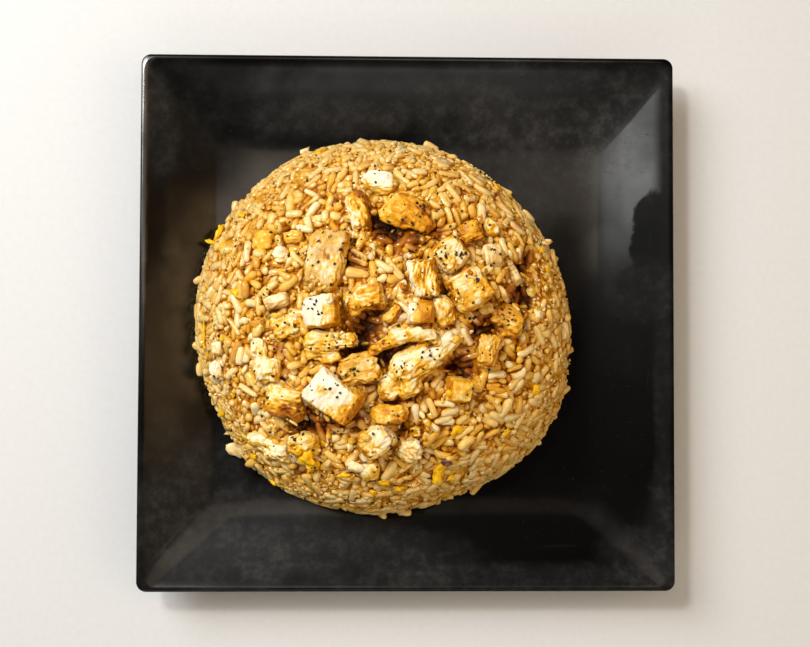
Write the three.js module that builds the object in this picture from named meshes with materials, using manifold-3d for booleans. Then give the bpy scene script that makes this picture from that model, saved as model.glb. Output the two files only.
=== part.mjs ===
// A moulded heap of fried rice with diced chicken, egg and onion, on a square black plate.
// Millimetres, +Z up. The origin is on the table, under the middle of the plate.

import * as THREE from "three";
import { mergeVertices } from "three/addons/utils/BufferGeometryUtils.js";
import Module from "manifold-3d";

const wasm = await Module();
wasm.setup();

// ---- driving dimensions ----

const gap = 0.3;                 // clearance between neighbouring solids

const plateHalf = 127;           // half of a 254 mm square plate
const plateHeight = 25;
const wellHalf = 86;             // half side of the flat well
const wellTop = 7;               // height of the well's eating surface
const recessTop = 2.5;           // height of the ceiling under the plate, inside the foot
const rimCorner = 4.5;           // corner radius seen from above, at the rim
const wellCorner = 11;           // the same at the well
const cornerSteps = 4;           // facets in each rounded corner

const heapCentre = [-12, -1];
const heapRadius = 89.5;
const heapHeight = 52;           // crown above the well
const shoulder = 2.4;            // how square the heap's shoulder is
const flank = 0.6;               // how steep the flank is at the foot

const grainRidge = 4.8;          // distance between the two raised ends of a grain's ridge
const grainWidth = 2.6;          // least distance between two ridges
const valleySpacing = 2.5;       // least distance between the low points among the grains
const bareSpacing = 8.5;         // the same where the heap is bare, under a topping
const bareMargin = 2.6;          // how far the bare heap shows round a topping
const shortSide = 6.5;           // a topping's side shorter than this is left in one,
const longSide = 15;             // one longer than this is divided in three, and the others in two
const looseRadius = 70;          // inside this the top is fluffed up, outside it is moulded smooth

// Dark pockets in the loose top: place, radius and depth.
const hollows = [
  { at: [22, -21], radius: 6, depth: 8 },
  { at: [-47, -45], radius: 6, depth: 7 },
  { at: [-26, -9], radius: 5, depth: 5 },
  { at: [48, 11], radius: 6, depth: 7 },
  { at: [55, 30], radius: 5, depth: 5 },
  { at: [33, -3], radius: 4.5, depth: 5 },
  { at: [-13, 39], radius: 6.5, depth: 6 },
  { at: [-50, -68], radius: 5, depth: 4 },
  { at: [13, 12], radius: 4.5, depth: 5 },
  { at: [11, 40], radius: 5, depth: 4 },
  { at: [-5, -35], radius: 6, depth: 5 },
];

// ---- toppings: where each piece lies, its length, width and height, and its turn in degrees ----
// rise is the height of the piece's middle over the bare heap. A piece made of several lobes
// gives each lobe its own place from the piece's middle.

const chicken = [
  { at: [-13, 62], size: [16, 11, 9], turn: -8, rise: 1.5, soft: 0.85 },
  { at: [-23, 47.5], size: [9.5, 18.5, 10], turn: 12, rise: 1.5, soft: 0.45 },
  { at: [-1, 47], size: [24, 15.5, 9], turn: -24, rise: 1.5, soft: 0.7, bend: 2.5 },
  { at: [-37, 26], size: [17.5, 28, 11], turn: -12, rise: 1.5, soft: 0.25 },
  { at: [-20, 9], rise: 2, turn: 8, lobes: [
    { from: [2, 0.5], size: [13, 11.5, 10], soft: 0.35 },
    { from: [-6, -2.5], size: [4.5, 11, 8], turn: 16, soft: 0.5 },
  ] },
  { at: [-38.5, 3], size: [16, 14, 13], turn: 4, rise: 2, soft: 0.3 },
  { at: [-54.5, -3.5], size: [13.5, 12, 9], turn: 15, rise: 1.5, soft: 0.8 },
  { at: [-34.5, -11.5], rise: 1.5, turn: 4, lobes: [
    { from: [0, 2], size: [25, 8.5, 8], soft: 0.4 },
    { from: [-4, -4], size: [18, 4.5, 6], turn: -6, soft: 0.5 },
  ] },
  { at: [27, 39], size: [12, 11.5, 8.5], turn: 20, rise: 1.5, soft: 0.6 },
  { at: [18, 29], size: [13.5, 13, 9], turn: 43, rise: 1.5, soft: 0.3 },
  { at: [5.5, 18], size: [13, 17.5, 12], turn: 6, rise: 2, soft: 0.3 },
  { at: [26, 13.5], size: [18, 17, 13], turn: 28, rise: 2, soft: 0.35 },
  { at: [4.5, 3], size: [12, 10, 10], turn: 3, rise: 2, soft: 0.35 },
  { at: [15, 3], size: [8.5, 13.5, 9], turn: 24, rise: 1.5, soft: 0.5 },
  { at: [-7, 3], size: [5.5, 11, 7], turn: -24, rise: 2, soft: 0.5 },
  { at: [-3, -9.5], size: [30, 6.5, 8], turn: 12, rise: 2.5, soft: 0.5, bend: 5 },
  { at: [2, -20], rise: 2.5, turn: 0, lobes: [
    { from: [0, 0], size: [23, 14.5, 11], turn: 34, soft: 0.75 },
    { from: [12.5, 8], size: [14.5, 8.5, 9], turn: 42, soft: 0.8 },
    { from: [-11, -10], size: [10, 11, 8], turn: 20, soft: 0.8 },
    { from: [-2.5, -9.5], size: [11, 9.5, 9], turn: 30, soft: 0.8 },
  ] },
  { at: [-22.5, -21.5], size: [18, 13.5, 7.5], turn: 12, rise: 1.5, soft: 0.3 },
  { at: [-33, -33.5], size: [24, 17.5, 15], turn: -33, rise: 2.5, soft: 0.3 },
  { at: [-55.5, -35.5], size: [19, 16.5, 12], turn: -14, rise: 1.5, soft: 0.45 },
  { at: [-8.5, -41.5], size: [17, 8.5, 8], turn: 5, rise: 1.5, soft: 0.6 },
  { at: [-15, -53], size: [15.5, 13.5, 11], turn: 36, rise: 2, soft: 0.35 },
  { at: [0.5, -58], size: [12, 11, 9], turn: 25, rise: 1.5, soft: 0.5 },
  { at: [22, -31], size: [11.5, 11, 11], turn: -6, rise: 2, soft: 0.25 },
  { at: [34.5, -13.5], size: [9.5, 16.5, 9], turn: -16, rise: 1.5, soft: 0.7 },
  { at: [44.5, 0.5], size: [14.5, 12, 9], turn: -30, rise: 1, soft: 0.55 },
  { at: [-47, -56], size: [14, 11.5, 9], turn: 20, rise: 1.5, soft: 0.8 },
  { at: [-63.5, -57.5], rise: 1.5, turn: -12, lobes: [
    { from: [-5, 1.5], size: [12, 9, 8], turn: 0, soft: 0.8 },
    { from: [3.5, -1], size: [14.5, 12, 9], turn: 10, soft: 0.7 },
  ] },
  { at: [-87.5, -12.5], size: [6, 7.5, 6], turn: 0, rise: 0.8, soft: 0.7 },
  { at: [-88, -23], size: [8, 9.5, 7], turn: 20, rise: 0.8, soft: 0.8 },
  { at: [-64, -18], rise: 1.5, turn: 0, lobes: [
    { from: [-2.5, 4.5], size: [8, 11.5, 9], turn: 6, soft: 0.9 },
    { from: [1, -5], size: [12.5, 11.5, 9], turn: 0, soft: 0.7 },
  ] },
  { at: [-57.5, 28.5], size: [7, 8, 7], turn: 0, rise: 1, soft: 0.8 },
  { at: [-17.5, -67.5], size: [9.5, 9, 8], turn: 10, rise: 1.5, soft: 0.5 },
  { at: [36.5, 42.5], size: [6.5, 9.5, 7], turn: 5, rise: 1, soft: 0.5 },
  { at: [3, -49.5], size: [7, 5.5, 6], turn: 15, rise: 1, soft: 0.5 },
];

const egg = [
  { at: [13, -70], size: [5.5, 12, 5], turn: 6, rise: 1, soft: 0.7 },
  { at: [-65.5, 36], size: [11.5, 9.5, 7], turn: -10, rise: 1, soft: 0.8 },
  { at: [-52.5, 37], size: [10.5, 6.5, 6], turn: 5, rise: 1, soft: 0.8 },
  { at: [-45.5, -63.5], size: [12.5, 5.5, 6], turn: -32, rise: 1, soft: 0.6 },
];

const onion = [
  { at: [-59.5, 8], size: [12.5, 7, 6], turn: 18, rise: 1, soft: 0.5 },
  { at: [37, 29.5], size: [9, 11, 7], turn: 6, rise: 1, soft: 0.3 },
  { at: [47, 22.5], size: [3.8, 13.5, 4.5], turn: 30, rise: 1, soft: 0.3 },
  { at: [73.5, -4], size: [6, 10, 5], turn: 0, rise: 1, soft: 0.3 },
];

// ---- seeded draws and small mathematics ----

// Returns a function that draws evenly from 0 to 1, the same each time for one seed.
function seededDraw(seed) {
  let state = seed >>> 0;
  return () => {
    state = (state + 0x6d2b79f5) >>> 0;
    let mixed = Math.imul(state ^ (state >>> 15), 1 | state);
    mixed = (mixed + Math.imul(mixed ^ (mixed >>> 7), 61 | mixed)) ^ mixed;
    return ((mixed ^ (mixed >>> 14)) >>> 0) / 2 ** 32;
  };
}

const toRadians = THREE.MathUtils.degToRad;
const smoothstep = THREE.MathUtils.smoothstep;

// ---- solids from triangles ----

function geometryFrom(points, triangles) {
  const geometry = new THREE.BufferGeometry();
  geometry.setAttribute("position", new THREE.Float32BufferAttribute(points.flat(), 3));
  geometry.setIndex(triangles.flat());
  return geometry;
}

function toSolid(geometry) {
  const bare = geometry.clone();
  bare.deleteAttribute("normal");
  bare.deleteAttribute("uv");
  const merged = mergeVertices(bare, 1e-4);
  return new wasm.Manifold(new wasm.Mesh({
    numProp: 3,
    vertProperties: new Float32Array(merged.attributes.position.array),
    triVerts: new Uint32Array(merged.index.array),
  }));
}

// The largest connected body of a solid: cutting can leave loose scraps, which are dropped.
function largestBody(solid) {
  const { vertProperties, triVerts, numProp } = solid.getMesh();
  const parent = Array.from({ length: vertProperties.length / numProp }, (_, index) => index);
  const rootOf = (index) => {
    while (parent[index] !== index) {
      parent[index] = parent[parent[index]];
      index = parent[index];
    }
    return index;
  };
  for (let t = 0; t < triVerts.length; t += 3) {
    parent[rootOf(triVerts[t])] = rootOf(triVerts[t + 1]);
    parent[rootOf(triVerts[t + 1])] = rootOf(triVerts[t + 2]);
  }
  const corner = (index) => new THREE.Vector3().fromArray(vertProperties, index * numProp);
  const volumes = new Map();
  const bodies = new Map();
  for (let t = 0; t < triVerts.length; t += 3) {
    const [a, b, c] = triVerts.slice(t, t + 3);
    const root = rootOf(a);
    const piece = corner(a).dot(corner(b).cross(corner(c))) / 6;
    volumes.set(root, (volumes.get(root) ?? 0) + piece);
    if (!bodies.has(root)) bodies.set(root, []);
    bodies.get(root).push([a, b, c]);
  }
  const largest = [...volumes].sort((one, other) => other[1] - one[1])[0][0];
  const points = [];
  const placeOf = new Map();
  const triangles = bodies.get(largest).map((triangle) => triangle.map((index) => {
    if (!placeOf.has(index)) {
      placeOf.set(index, points.length);
      points.push(corner(index).toArray());
    }
    return placeOf.get(index);
  }));
  return geometryFrom(points, triangles);
}

// ---- plate ----

// One ring of a rounded square, anticlockwise from above.
function squareRing(half, corner, height) {
  const ring = [];
  const signs = [[1, 1], [-1, 1], [-1, -1], [1, -1]];
  signs.forEach(([signX, signY], side) => {
    for (let step = 0; step <= cornerSteps; step += 1) {
      const angle = (side + step / cornerSteps) * Math.PI / 2;
      const x = signX * (half - corner) + corner * Math.cos(angle);
      const y = signY * (half - corner) + corner * Math.sin(angle);
      ring.push([x, y, height]);
    }
  });
  return ring;
}

// A closed body from rings that run out over the top and back underneath.
function ringBody(rings, topCentre, bottomCentre) {
  const count = rings[0].length;
  const points = [...rings.flat(), topCentre, bottomCentre];
  const topIndex = points.length - 2;
  const bottomIndex = points.length - 1;
  const lastRing = (rings.length - 1) * count;
  const triangles = [];
  for (let i = 0; i < count; i += 1) {
    const next = (i + 1) % count;
    triangles.push([topIndex, i, next]);
    for (let ring = 0; ring < rings.length - 1; ring += 1) {
      const inner = ring * count;
      const outer = inner + count;
      triangles.push([inner + i, outer + i, outer + next], [inner + i, outer + next, inner + next]);
    }
    triangles.push([bottomIndex, lastRing + next, lastRing + i]);
  }
  return geometryFrom(points, triangles);
}

// The corner grows rounder from the rim down to the well.
function cornerAt(half) {
  return THREE.MathUtils.mapLinear(half, wellHalf, plateHalf, wellCorner, rimCorner);
}

// Half side and height along the eating surface, from the edge of the well to the lip's top.
const eatingSurface = [
  [wellHalf, wellTop],
  [wellHalf + 4.5, wellTop + 0.8],
  [wellHalf + 8.5, wellTop + 2.6],
  [wellHalf + 22, wellTop + 8.8],
  [plateHalf - 7, plateHeight - 2.6],
  [plateHalf - 3.4, plateHeight - 0.7],
  [plateHalf - 1.7, plateHeight],
];

function plateGeometry() {
  const lipAndUnderside = [
    [plateHalf - 0.5, plateHeight - 0.35],
    [plateHalf, plateHeight - 1.3],
    [plateHalf - 0.4, plateHeight - 2.4],
    [plateHalf - 2.2, plateHeight - 3.7],
    [plateHalf - 17.5, plateHeight - 11.8],
    [wellHalf + 9, wellTop - 1],
    [wellHalf + 3, wellTop - 3.8],
    [wellHalf - 5, wellTop - 4.4],
  ];
  const foot = [
    [wellHalf - 6.5, 0],
    [wellHalf - 12, 0],
    [wellHalf - 13.5, recessTop],
  ];
  const profile = [...eatingSurface, ...lipAndUnderside, ...foot];
  const rings = profile.map(([half, height]) => squareRing(half, cornerAt(half), height));
  return ringBody(rings, [0, 0, wellTop], [0, 0, recessTop]);
}

// Everything below the eating surface, raised by the gap: what lies on the plate is cut by it.
function plateMould() {
  const beyondRim = 12;
  const rings = eatingSurface.map(([half, height]) => squareRing(half, cornerAt(half), height + gap));
  rings.push(squareRing(plateHalf + beyondRim, rimCorner, plateHeight + gap));
  rings.push(squareRing(plateHalf + beyondRim, rimCorner, -beyondRim));
  return toSolid(ringBody(rings, [0, 0, wellTop + gap], [0, 0, -beyondRim]));
}

// ---- the heap's smooth form ----

// The flank is a superellipse: (r / R)^shoulder + (z / H)^(1 / flank) = 1. Stations run down it
// from the crown, with the length travelled so far.
const stations = [{ arc: 0, radius: 0, height: heapHeight }];
for (let step = 1; step <= 240; step += 1) {
  const angle = step / 240 * Math.PI / 2;
  const radius = heapRadius * Math.sin(angle) ** (2 / shoulder);
  const height = heapHeight * Math.max(Math.cos(angle), 0) ** (2 * flank);
  const last = stations.at(-1);
  const arc = last.arc + Math.hypot(radius - last.radius, height - last.height);
  stations.push({ arc, radius, height });
}
const flankLength = stations.at(-1).arc;

// Radius, height and outward normal at a length along the flank.
function flankAt(arc) {
  let upper = stations.findIndex((station) => station.arc >= arc);
  if (upper < 1) upper = arc <= 0 ? 1 : stations.length - 1;
  const a = stations[upper - 1];
  const b = stations[upper];
  const t = (arc - a.arc) / (b.arc - a.arc);
  const length = b.arc - a.arc;
  return {
    radius: a.radius + t * (b.radius - a.radius),
    height: wellTop + a.height + t * (b.height - a.height),
    outward: (a.height - b.height) / length,
    upward: (b.radius - a.radius) / length,
  };
}

// Slow waves where the top is loose, less the pockets.
function relief(x, y) {
  const r = Math.hypot(x - heapCentre[0], y - heapCentre[1]);
  const looseness = 1 - smoothstep(r, looseRadius - 15, looseRadius + 12);
  const waves = 1.1 * Math.sin(0.13 * x + 0.6) * Math.sin(0.15 * y + 1.1)
    + 0.8 * Math.sin(0.29 * x - 0.21 * y + 2.0) + 0.5 * Math.sin(0.23 * x + 0.37 * y);
  let depth = 0;
  for (const hollow of hollows) {
    const distance = Math.hypot(x - hollow.at[0], y - hollow.at[1]) / hollow.radius;
    depth += hollow.depth * Math.exp(-(distance ** 2));
  }
  return looseness * waves - depth;
}

// The heap is worked out on a flat disc: a point's distance from the middle is its length along
// the flank. lift moves the point along the heap's normal.
function onHeap([u, v], lift) {
  const arc = Math.hypot(u, v);
  const angle = Math.atan2(v, u);
  const { radius, height, outward, upward } = flankAt(arc);
  const x = heapCentre[0] + radius * Math.cos(angle);
  const y = heapCentre[1] + radius * Math.sin(angle);
  const out = lift + relief(x, y);
  return [x + out * outward * Math.cos(angle), y + out * outward * Math.sin(angle), height + out * upward];
}

// Height and normal of the bare heap over a place on the plate.
function heapOver(x, y) {
  const r = Math.min(Math.hypot(x - heapCentre[0], y - heapCentre[1]), heapRadius - 0.5);
  const angle = Math.atan2(y - heapCentre[1], x - heapCentre[0]);
  const arc = stations.find((station) => station.radius >= r).arc;
  const { height, outward, upward } = flankAt(arc);
  const normal = new THREE.Vector3(outward * Math.cos(angle), outward * Math.sin(angle), upward);
  return { height: height + relief(x, y) * upward, normal };
}

// ---- topping pieces ----

// A piece's lobes, each with its middle on the plate and its own turn.
function lobesOf(piece) {
  if (!piece.lobes) return [{ ...piece, x: piece.at[0], y: piece.at[1] }];
  const turn = toRadians(piece.turn);
  return piece.lobes.map((lobe) => ({
    ...lobe,
    turn: (lobe.turn ?? 0) + piece.turn,
    rise: piece.rise,
    x: piece.at[0] + lobe.from[0] * Math.cos(turn) - lobe.from[1] * Math.sin(turn),
    y: piece.at[1] + lobe.from[0] * Math.sin(turn) + lobe.from[1] * Math.cos(turn),
  }));
}

// One lobe: a finely divided block whose corners are drawn towards a sphere by soft, with uneven
// faces, a narrower top and an optional bend along its length. grow makes it larger all round.
function lobeGeometry(lobe, seed, grow) {
  const draw = seededDraw(seed);
  const halfSize = lobe.size.map((side) => side / 2);
  const divisions = lobe.size.map((side) => 1 + (side >= shortSide) + (side > longSide));
  const block = new THREE.BoxGeometry(2, 2, 2, ...divisions);
  const phases = Array.from({ length: 6 }, () => draw() * Math.PI * 2);
  const narrowX = 0.06 + 0.12 * draw();
  const narrowY = 0.06 + 0.12 * draw();
  const unevenness = 0.09;
  const corner = new THREE.Vector3();
  const place = block.attributes.position;
  for (let i = 0; i < place.count; i += 1) {
    corner.fromBufferAttribute(place, i);
    const round = corner.clone().setLength(1.18);
    corner.lerp(round, lobe.soft);
    const uneven = corner.clone();
    uneven.x += unevenness * Math.sin(2.6 * corner.y + phases[0]) * Math.cos(2.2 * corner.z + phases[1]);
    uneven.y += unevenness * Math.sin(2.6 * corner.x + phases[2]) * Math.cos(2.2 * corner.z + phases[3]);
    uneven.z += unevenness * Math.sin(2.4 * corner.x + phases[4]) * Math.cos(2.4 * corner.y + phases[5]);
    uneven.x *= 1 - narrowX * uneven.z;
    uneven.y *= 1 - narrowY * uneven.z;
    const bow = (lobe.bend ?? 0) * (0.5 - uneven.x ** 2);
    place.setXYZ(
      i,
      uneven.x * (halfSize[0] + grow),
      uneven.y * (halfSize[1] + grow) + bow,
      uneven.z * (halfSize[2] + grow),
    );
  }
  const { height, normal } = heapOver(lobe.x, lobe.y);
  const upright = new THREE.Vector3(0, 0, 1);
  const leanShare = 0.65;        // pieces lie between level and flush with the heap
  const lean = upright.clone().lerp(normal, leanShare).normalize();
  const tipping = new THREE.Vector3((draw() - 0.5) * 0.25, (draw() - 0.5) * 0.25, 0);
  lean.add(tipping).normalize();
  const attitude = new THREE.Quaternion().setFromUnitVectors(upright, lean);
  attitude.multiply(new THREE.Quaternion().setFromAxisAngle(upright, toRadians(lobe.turn)));
  block.applyQuaternion(attitude);
  const middle = normal.multiplyScalar(lobe.rise).add(new THREE.Vector3(lobe.x, lobe.y, height));
  return block.translate(middle.x, middle.y, middle.z);
}

function pieceSolid(piece, seed, grow) {
  const lobes = lobesOf(piece).map((lobe, index) => toSolid(lobeGeometry(lobe, seed + index, grow)));
  return lobes.reduce((joined, lobe) => joined.add(lobe));
}

// ---- the heap's grains ----

const toppings = [
  ...chicken.map((piece, index) => ({ kind: "chicken", number: index + 1, piece })),
  ...egg.map((piece, index) => ({ kind: "egg", number: index + 1, piece })),
  ...onion.map((piece, index) => ({ kind: "onion", number: index + 1, piece })),
];
const footprints = toppings.flatMap(({ piece }) => lobesOf(piece));

// True where a topping lies, with a margin round it: the heap stays bare there.
function underTopping(x, y) {
  return footprints.some((lobe) => {
    const turn = toRadians(lobe.turn);
    const along = (x - lobe.x) * Math.cos(turn) + (y - lobe.y) * Math.sin(turn);
    const across = (y - lobe.y) * Math.cos(turn) - (x - lobe.x) * Math.sin(turn);
    const length = along / (lobe.size[0] / 2 + bareMargin);
    const width = across / (lobe.size[1] / 2 + bareMargin);
    return length ** 2 + width ** 2 < 1;
  });
}

// Each grain is a short ridge between two raised points on the flat disc. Grains are tried at
// random places and directions, and kept where no other ridge is nearer than a grain's width.
function layGrains(draw) {
  const grains = [];
  const tries = 36000;
  for (let attempt = 0; attempt < tries; attempt += 1) {
    const arc = Math.sqrt(draw()) * (flankLength - 2);
    const angle = draw() * Math.PI * 2;
    const heading = draw() * Math.PI;
    const { radius } = flankAt(arc);
    const stretch = arc / Math.max(radius, 1);
    const along = Math.cos(heading) * grainRidge / 2;
    const round = Math.sin(heading) * grainRidge / 2 * stretch;
    const middle = [arc * Math.cos(angle), arc * Math.sin(angle)];
    const step = [
      along * Math.cos(angle) - round * Math.sin(angle),
      along * Math.sin(angle) + round * Math.cos(angle),
    ];
    const ridge = [-1, 0, 1].map((end) => [middle[0] + end * step[0], middle[1] + end * step[1]]);
    const crowded = grains.some((other) => {
      const away = Math.hypot(other[1][0] - middle[0], other[1][1] - middle[1]);
      if (away > grainRidge + grainWidth + 1.5) return false;
      return other.some((q) => ridge.some((p) => Math.hypot(p[0] - q[0], p[1] - q[1]) < grainWidth));
    });
    if (crowded) continue;
    const bare = ridge.some((p) => {
      const [x, y] = onHeap(p, 0);
      return underTopping(x, y);
    });
    if (!bare) grains.push(ridge);
  }
  return grains;
}

// Low points between the grains, closer together where there are grains than where it is bare.
function layValleys(draw, grains) {
  const ridgePoints = grains.flat();
  const valleys = [];
  const tries = 26000;
  for (let attempt = 0; attempt < tries; attempt += 1) {
    const arc = Math.sqrt(draw()) * (flankLength - 1.5);
    const angle = draw() * Math.PI * 2;
    const p = [arc * Math.cos(angle), arc * Math.sin(angle)];
    const [x, y] = onHeap(p, 0);
    const spacing = underTopping(x, y) ? bareSpacing : valleySpacing;
    const near = (q, limit) => Math.abs(p[0] - q[0]) < limit && Math.hypot(p[0] - q[0], p[1] - q[1]) < limit;
    if (valleys.some((q) => near(q, spacing)) || ridgePoints.some((q) => near(q, 1.5))) continue;
    valleys.push(p);
  }
  return valleys;
}

// Delaunay triangles of points in a plane: each point in turn removes the triangles whose circle
// holds it, and joins the edges of the hole.
function triangulate(points) {
  const far = 10 * flankLength;
  const all = [...points, [-far, -far], [far, -far], [0, far]];
  const withCircle = (a, b, c) => {
    const [ax, ay] = all[a];
    const bx = all[b][0] - ax;
    const by = all[b][1] - ay;
    const cx = all[c][0] - ax;
    const cy = all[c][1] - ay;
    const twice = 2 * (bx * cy - by * cx);
    const x = (cy * (bx * bx + by * by) - by * (cx * cx + cy * cy)) / twice;
    const y = (bx * (cx * cx + cy * cy) - cx * (bx * bx + by * by)) / twice;
    return { corners: [a, b, c], x: ax + x, y: ay + y, reach: x * x + y * y };
  };
  const count = points.length;
  let triangles = [withCircle(count, count + 1, count + 2)];
  for (let index = 0; index < count; index += 1) {
    const [x, y] = all[index];
    const kept = [];
    const edges = new Map();
    for (const triangle of triangles) {
      if ((triangle.x - x) ** 2 + (triangle.y - y) ** 2 >= triangle.reach) {
        kept.push(triangle);
        continue;
      }
      const [a, b, c] = triangle.corners;
      for (const [from, to] of [[a, b], [b, c], [c, a]]) {
        if (!edges.delete(`${to},${from}`)) edges.set(`${from},${to}`, [from, to]);
      }
    }
    for (const [from, to] of edges.values()) kept.push(withCircle(from, to, index));
    triangles = kept;
  }
  return triangles.map(({ corners }) => corners).filter((corners) => corners.every((c) => c < count));
}

// Turns the edge that crosses a grain so that the grain's two ends are joined by a ridge.
function joinRidges(points, triangles, grainOf) {
  const third = new Map();
  const key = (a, b) => a * points.length + b;
  const set = (a, b, c) => {
    third.set(key(a, b), c);
    third.set(key(b, c), a);
    third.set(key(c, a), b);
  };
  triangles.forEach(([a, b, c]) => set(a, b, c));
  const turnsLeft = (a, b, c) => (points[b][0] - points[a][0]) * (points[c][1] - points[a][1])
    - (points[b][1] - points[a][1]) * (points[c][0] - points[a][0]) > 0.05;
  for (const start of [...third.keys()]) {
    const a = Math.floor(start / points.length);
    const b = start % points.length;
    const c = third.get(start);
    const d = third.get(key(b, a));
    if (c === undefined || d === undefined || grainOf[c] < 0 || grainOf[c] !== grainOf[d]) continue;
    if (!turnsLeft(c, a, d) || !turnsLeft(d, b, c)) continue;
    third.delete(key(a, b));
    third.delete(key(b, a));
    set(c, a, d);
    set(d, b, c);
  }
  const joined = [];
  for (const [start, c] of third) {
    const a = Math.floor(start / points.length);
    const b = start % points.length;
    if (a < b && a < c) joined.push([a, b, c]);
  }
  return joined;
}

// The heap's net on the flat disc: points, how far each stands out, triangles and the foot's loop.
function heapNet() {
  const draw = seededDraw(20);
  const grains = layGrains(draw);
  const valleys = layValleys(draw, grains);
  const points = [];
  const lifts = [];
  const grainOf = [];
  const add = (point, lift, grain) => {
    points.push(point);
    lifts.push(lift);
    grainOf.push(grain);
  };
  grains.forEach(([head, middle, tail], grain) => {
    const loose = Math.hypot(...middle) < looseRadius ? 1 : 0.35;
    const height = 1.15 + loose * 0.5 * (draw() - 0.4);
    const slant = loose * 0.9 * (draw() - 0.5);
    add(head, height + slant, grain);
    add(tail, height - slant, grain);
  });
  valleys.forEach((point) => add(point, 0, -1));
  const footPoints = 200;
  for (let step = 0; step < footPoints; step += 1) {
    const angle = step / footPoints * Math.PI * 2;
    add([flankLength * Math.cos(angle), flankLength * Math.sin(angle)], 0, -1);
  }
  const triangles = joinRidges(points, triangulate(points), grainOf);
  const nextOf = new Map();
  for (const [a, b, c] of triangles) {
    for (const [from, to] of [[a, b], [b, c], [c, a]]) nextOf.set(`${from},${to}`, [from, to]);
  }
  const foot = [...nextOf.values()].filter(([from, to]) => !nextOf.has(`${to},${from}`));
  return { points, lifts, triangles, foot };
}

const net = heapNet();

// The heap as a solid, closed under the well, with its whole upper surface moved out by lift.
function heapSolid(lift) {
  const points = net.points.map((point, index) => onHeap(point, net.lifts[index] + lift));
  const triangles = [...net.triangles];
  const below = wellTop - 5;
  const lowerOf = new Map();
  net.foot.forEach(([from]) => {
    lowerOf.set(from, points.length);
    points.push([points[from][0], points[from][1], below]);
  });
  const middle = points.length;
  points.push([heapCentre[0], heapCentre[1], below]);
  net.foot.forEach(([from, to]) => {
    const lowFrom = lowerOf.get(from);
    const lowTo = lowerOf.get(to);
    triangles.push([to, from, lowFrom], [to, lowFrom, lowTo], [middle, lowTo, lowFrom]);
  });
  return toSolid(geometryFrom(points, triangles));
}

// ---- assembly ----

const finishes = {
  plate: { color: 0x1b1b1c, roughness: 0.55 },
  rice: { color: 0xc9924a, roughness: 0.45 },
  chicken: { color: 0xe8b768, roughness: 0.5 },
  egg: { color: 0xe0a520, roughness: 0.4 },
  onion: { color: 0xd9b56c, roughness: 0.35 },
};

// A named mesh whose own origin is in its middle.
function meshOf(name, kind, geometry) {
  geometry.computeBoundingBox();
  const middle = geometry.boundingBox.getCenter(new THREE.Vector3());
  geometry.translate(-middle.x, -middle.y, -middle.z);
  const material = new THREE.MeshStandardMaterial({ ...finishes[kind], metalness: 0 });
  const mesh = new THREE.Mesh(geometry, material);
  mesh.name = name;
  mesh.position.copy(middle);
  return mesh;
}

const mould = plateMould();
const friedRicePlate = new THREE.Group();
friedRicePlate.add(meshOf("plate", "plate", plateGeometry()));
friedRicePlate.add(meshOf("rice", "rice", largestBody(heapSolid(0).subtract(mould))));

// Each topping is cut by the heap and the plate below it, and by the pieces laid before it.
const bed = heapSolid(gap).add(mould);
const laid = [];
const heapOfToppings = new THREE.Group();
toppings.forEach(({ kind, number, piece }, order) => {
  const seed = 100 + order * 17;
  let solid = pieceSolid(piece, seed, 0).subtract(bed);
  for (const earlier of laid) solid = solid.subtract(earlier);
  laid.push(pieceSolid(piece, seed, gap));
  heapOfToppings.add(meshOf(`${kind}_${String(number).padStart(2, "0")}`, kind, largestBody(solid)));
});
friedRicePlate.add(heapOfToppings);

export default friedRicePlate;
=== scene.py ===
# A moulded heap of fried rice with diced chicken, egg and onion, on a worn black square plate.
# Shapes are worked out in millimetres on numpy arrays and go into Blender in metres.

import bmesh
import bpy
import numpy as np
from mathutils import Matrix, Vector
from mathutils.bvhtree import BVHTree


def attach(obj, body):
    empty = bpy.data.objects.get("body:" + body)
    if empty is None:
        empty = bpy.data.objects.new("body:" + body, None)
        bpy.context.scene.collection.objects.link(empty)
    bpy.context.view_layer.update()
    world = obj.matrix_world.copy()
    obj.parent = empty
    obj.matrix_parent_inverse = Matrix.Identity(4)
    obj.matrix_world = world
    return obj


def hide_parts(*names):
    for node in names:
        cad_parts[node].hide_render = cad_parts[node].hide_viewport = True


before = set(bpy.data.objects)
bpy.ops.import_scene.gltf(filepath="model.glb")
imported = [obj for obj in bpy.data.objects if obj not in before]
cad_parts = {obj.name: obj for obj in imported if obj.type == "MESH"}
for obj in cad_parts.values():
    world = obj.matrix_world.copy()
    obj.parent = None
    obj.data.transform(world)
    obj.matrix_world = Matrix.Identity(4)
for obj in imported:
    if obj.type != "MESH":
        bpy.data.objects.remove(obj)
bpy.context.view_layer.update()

metre = 0.001


# one line for each stage
def report(stage):
    print("stage:", stage)


# smooth step from 0 to 1 between two limits: t^2 (3 - 2 t)
def ramp(value, low, high):
    t = np.clip((value - low) / (high - low), 0, 1)
    return t * t * (3 - 2 * t)


# each row divided by its length
def unit(vectors):
    return vectors / np.maximum(np.linalg.norm(vectors, axis=-1, keepdims=True), 1e-9)


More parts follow.
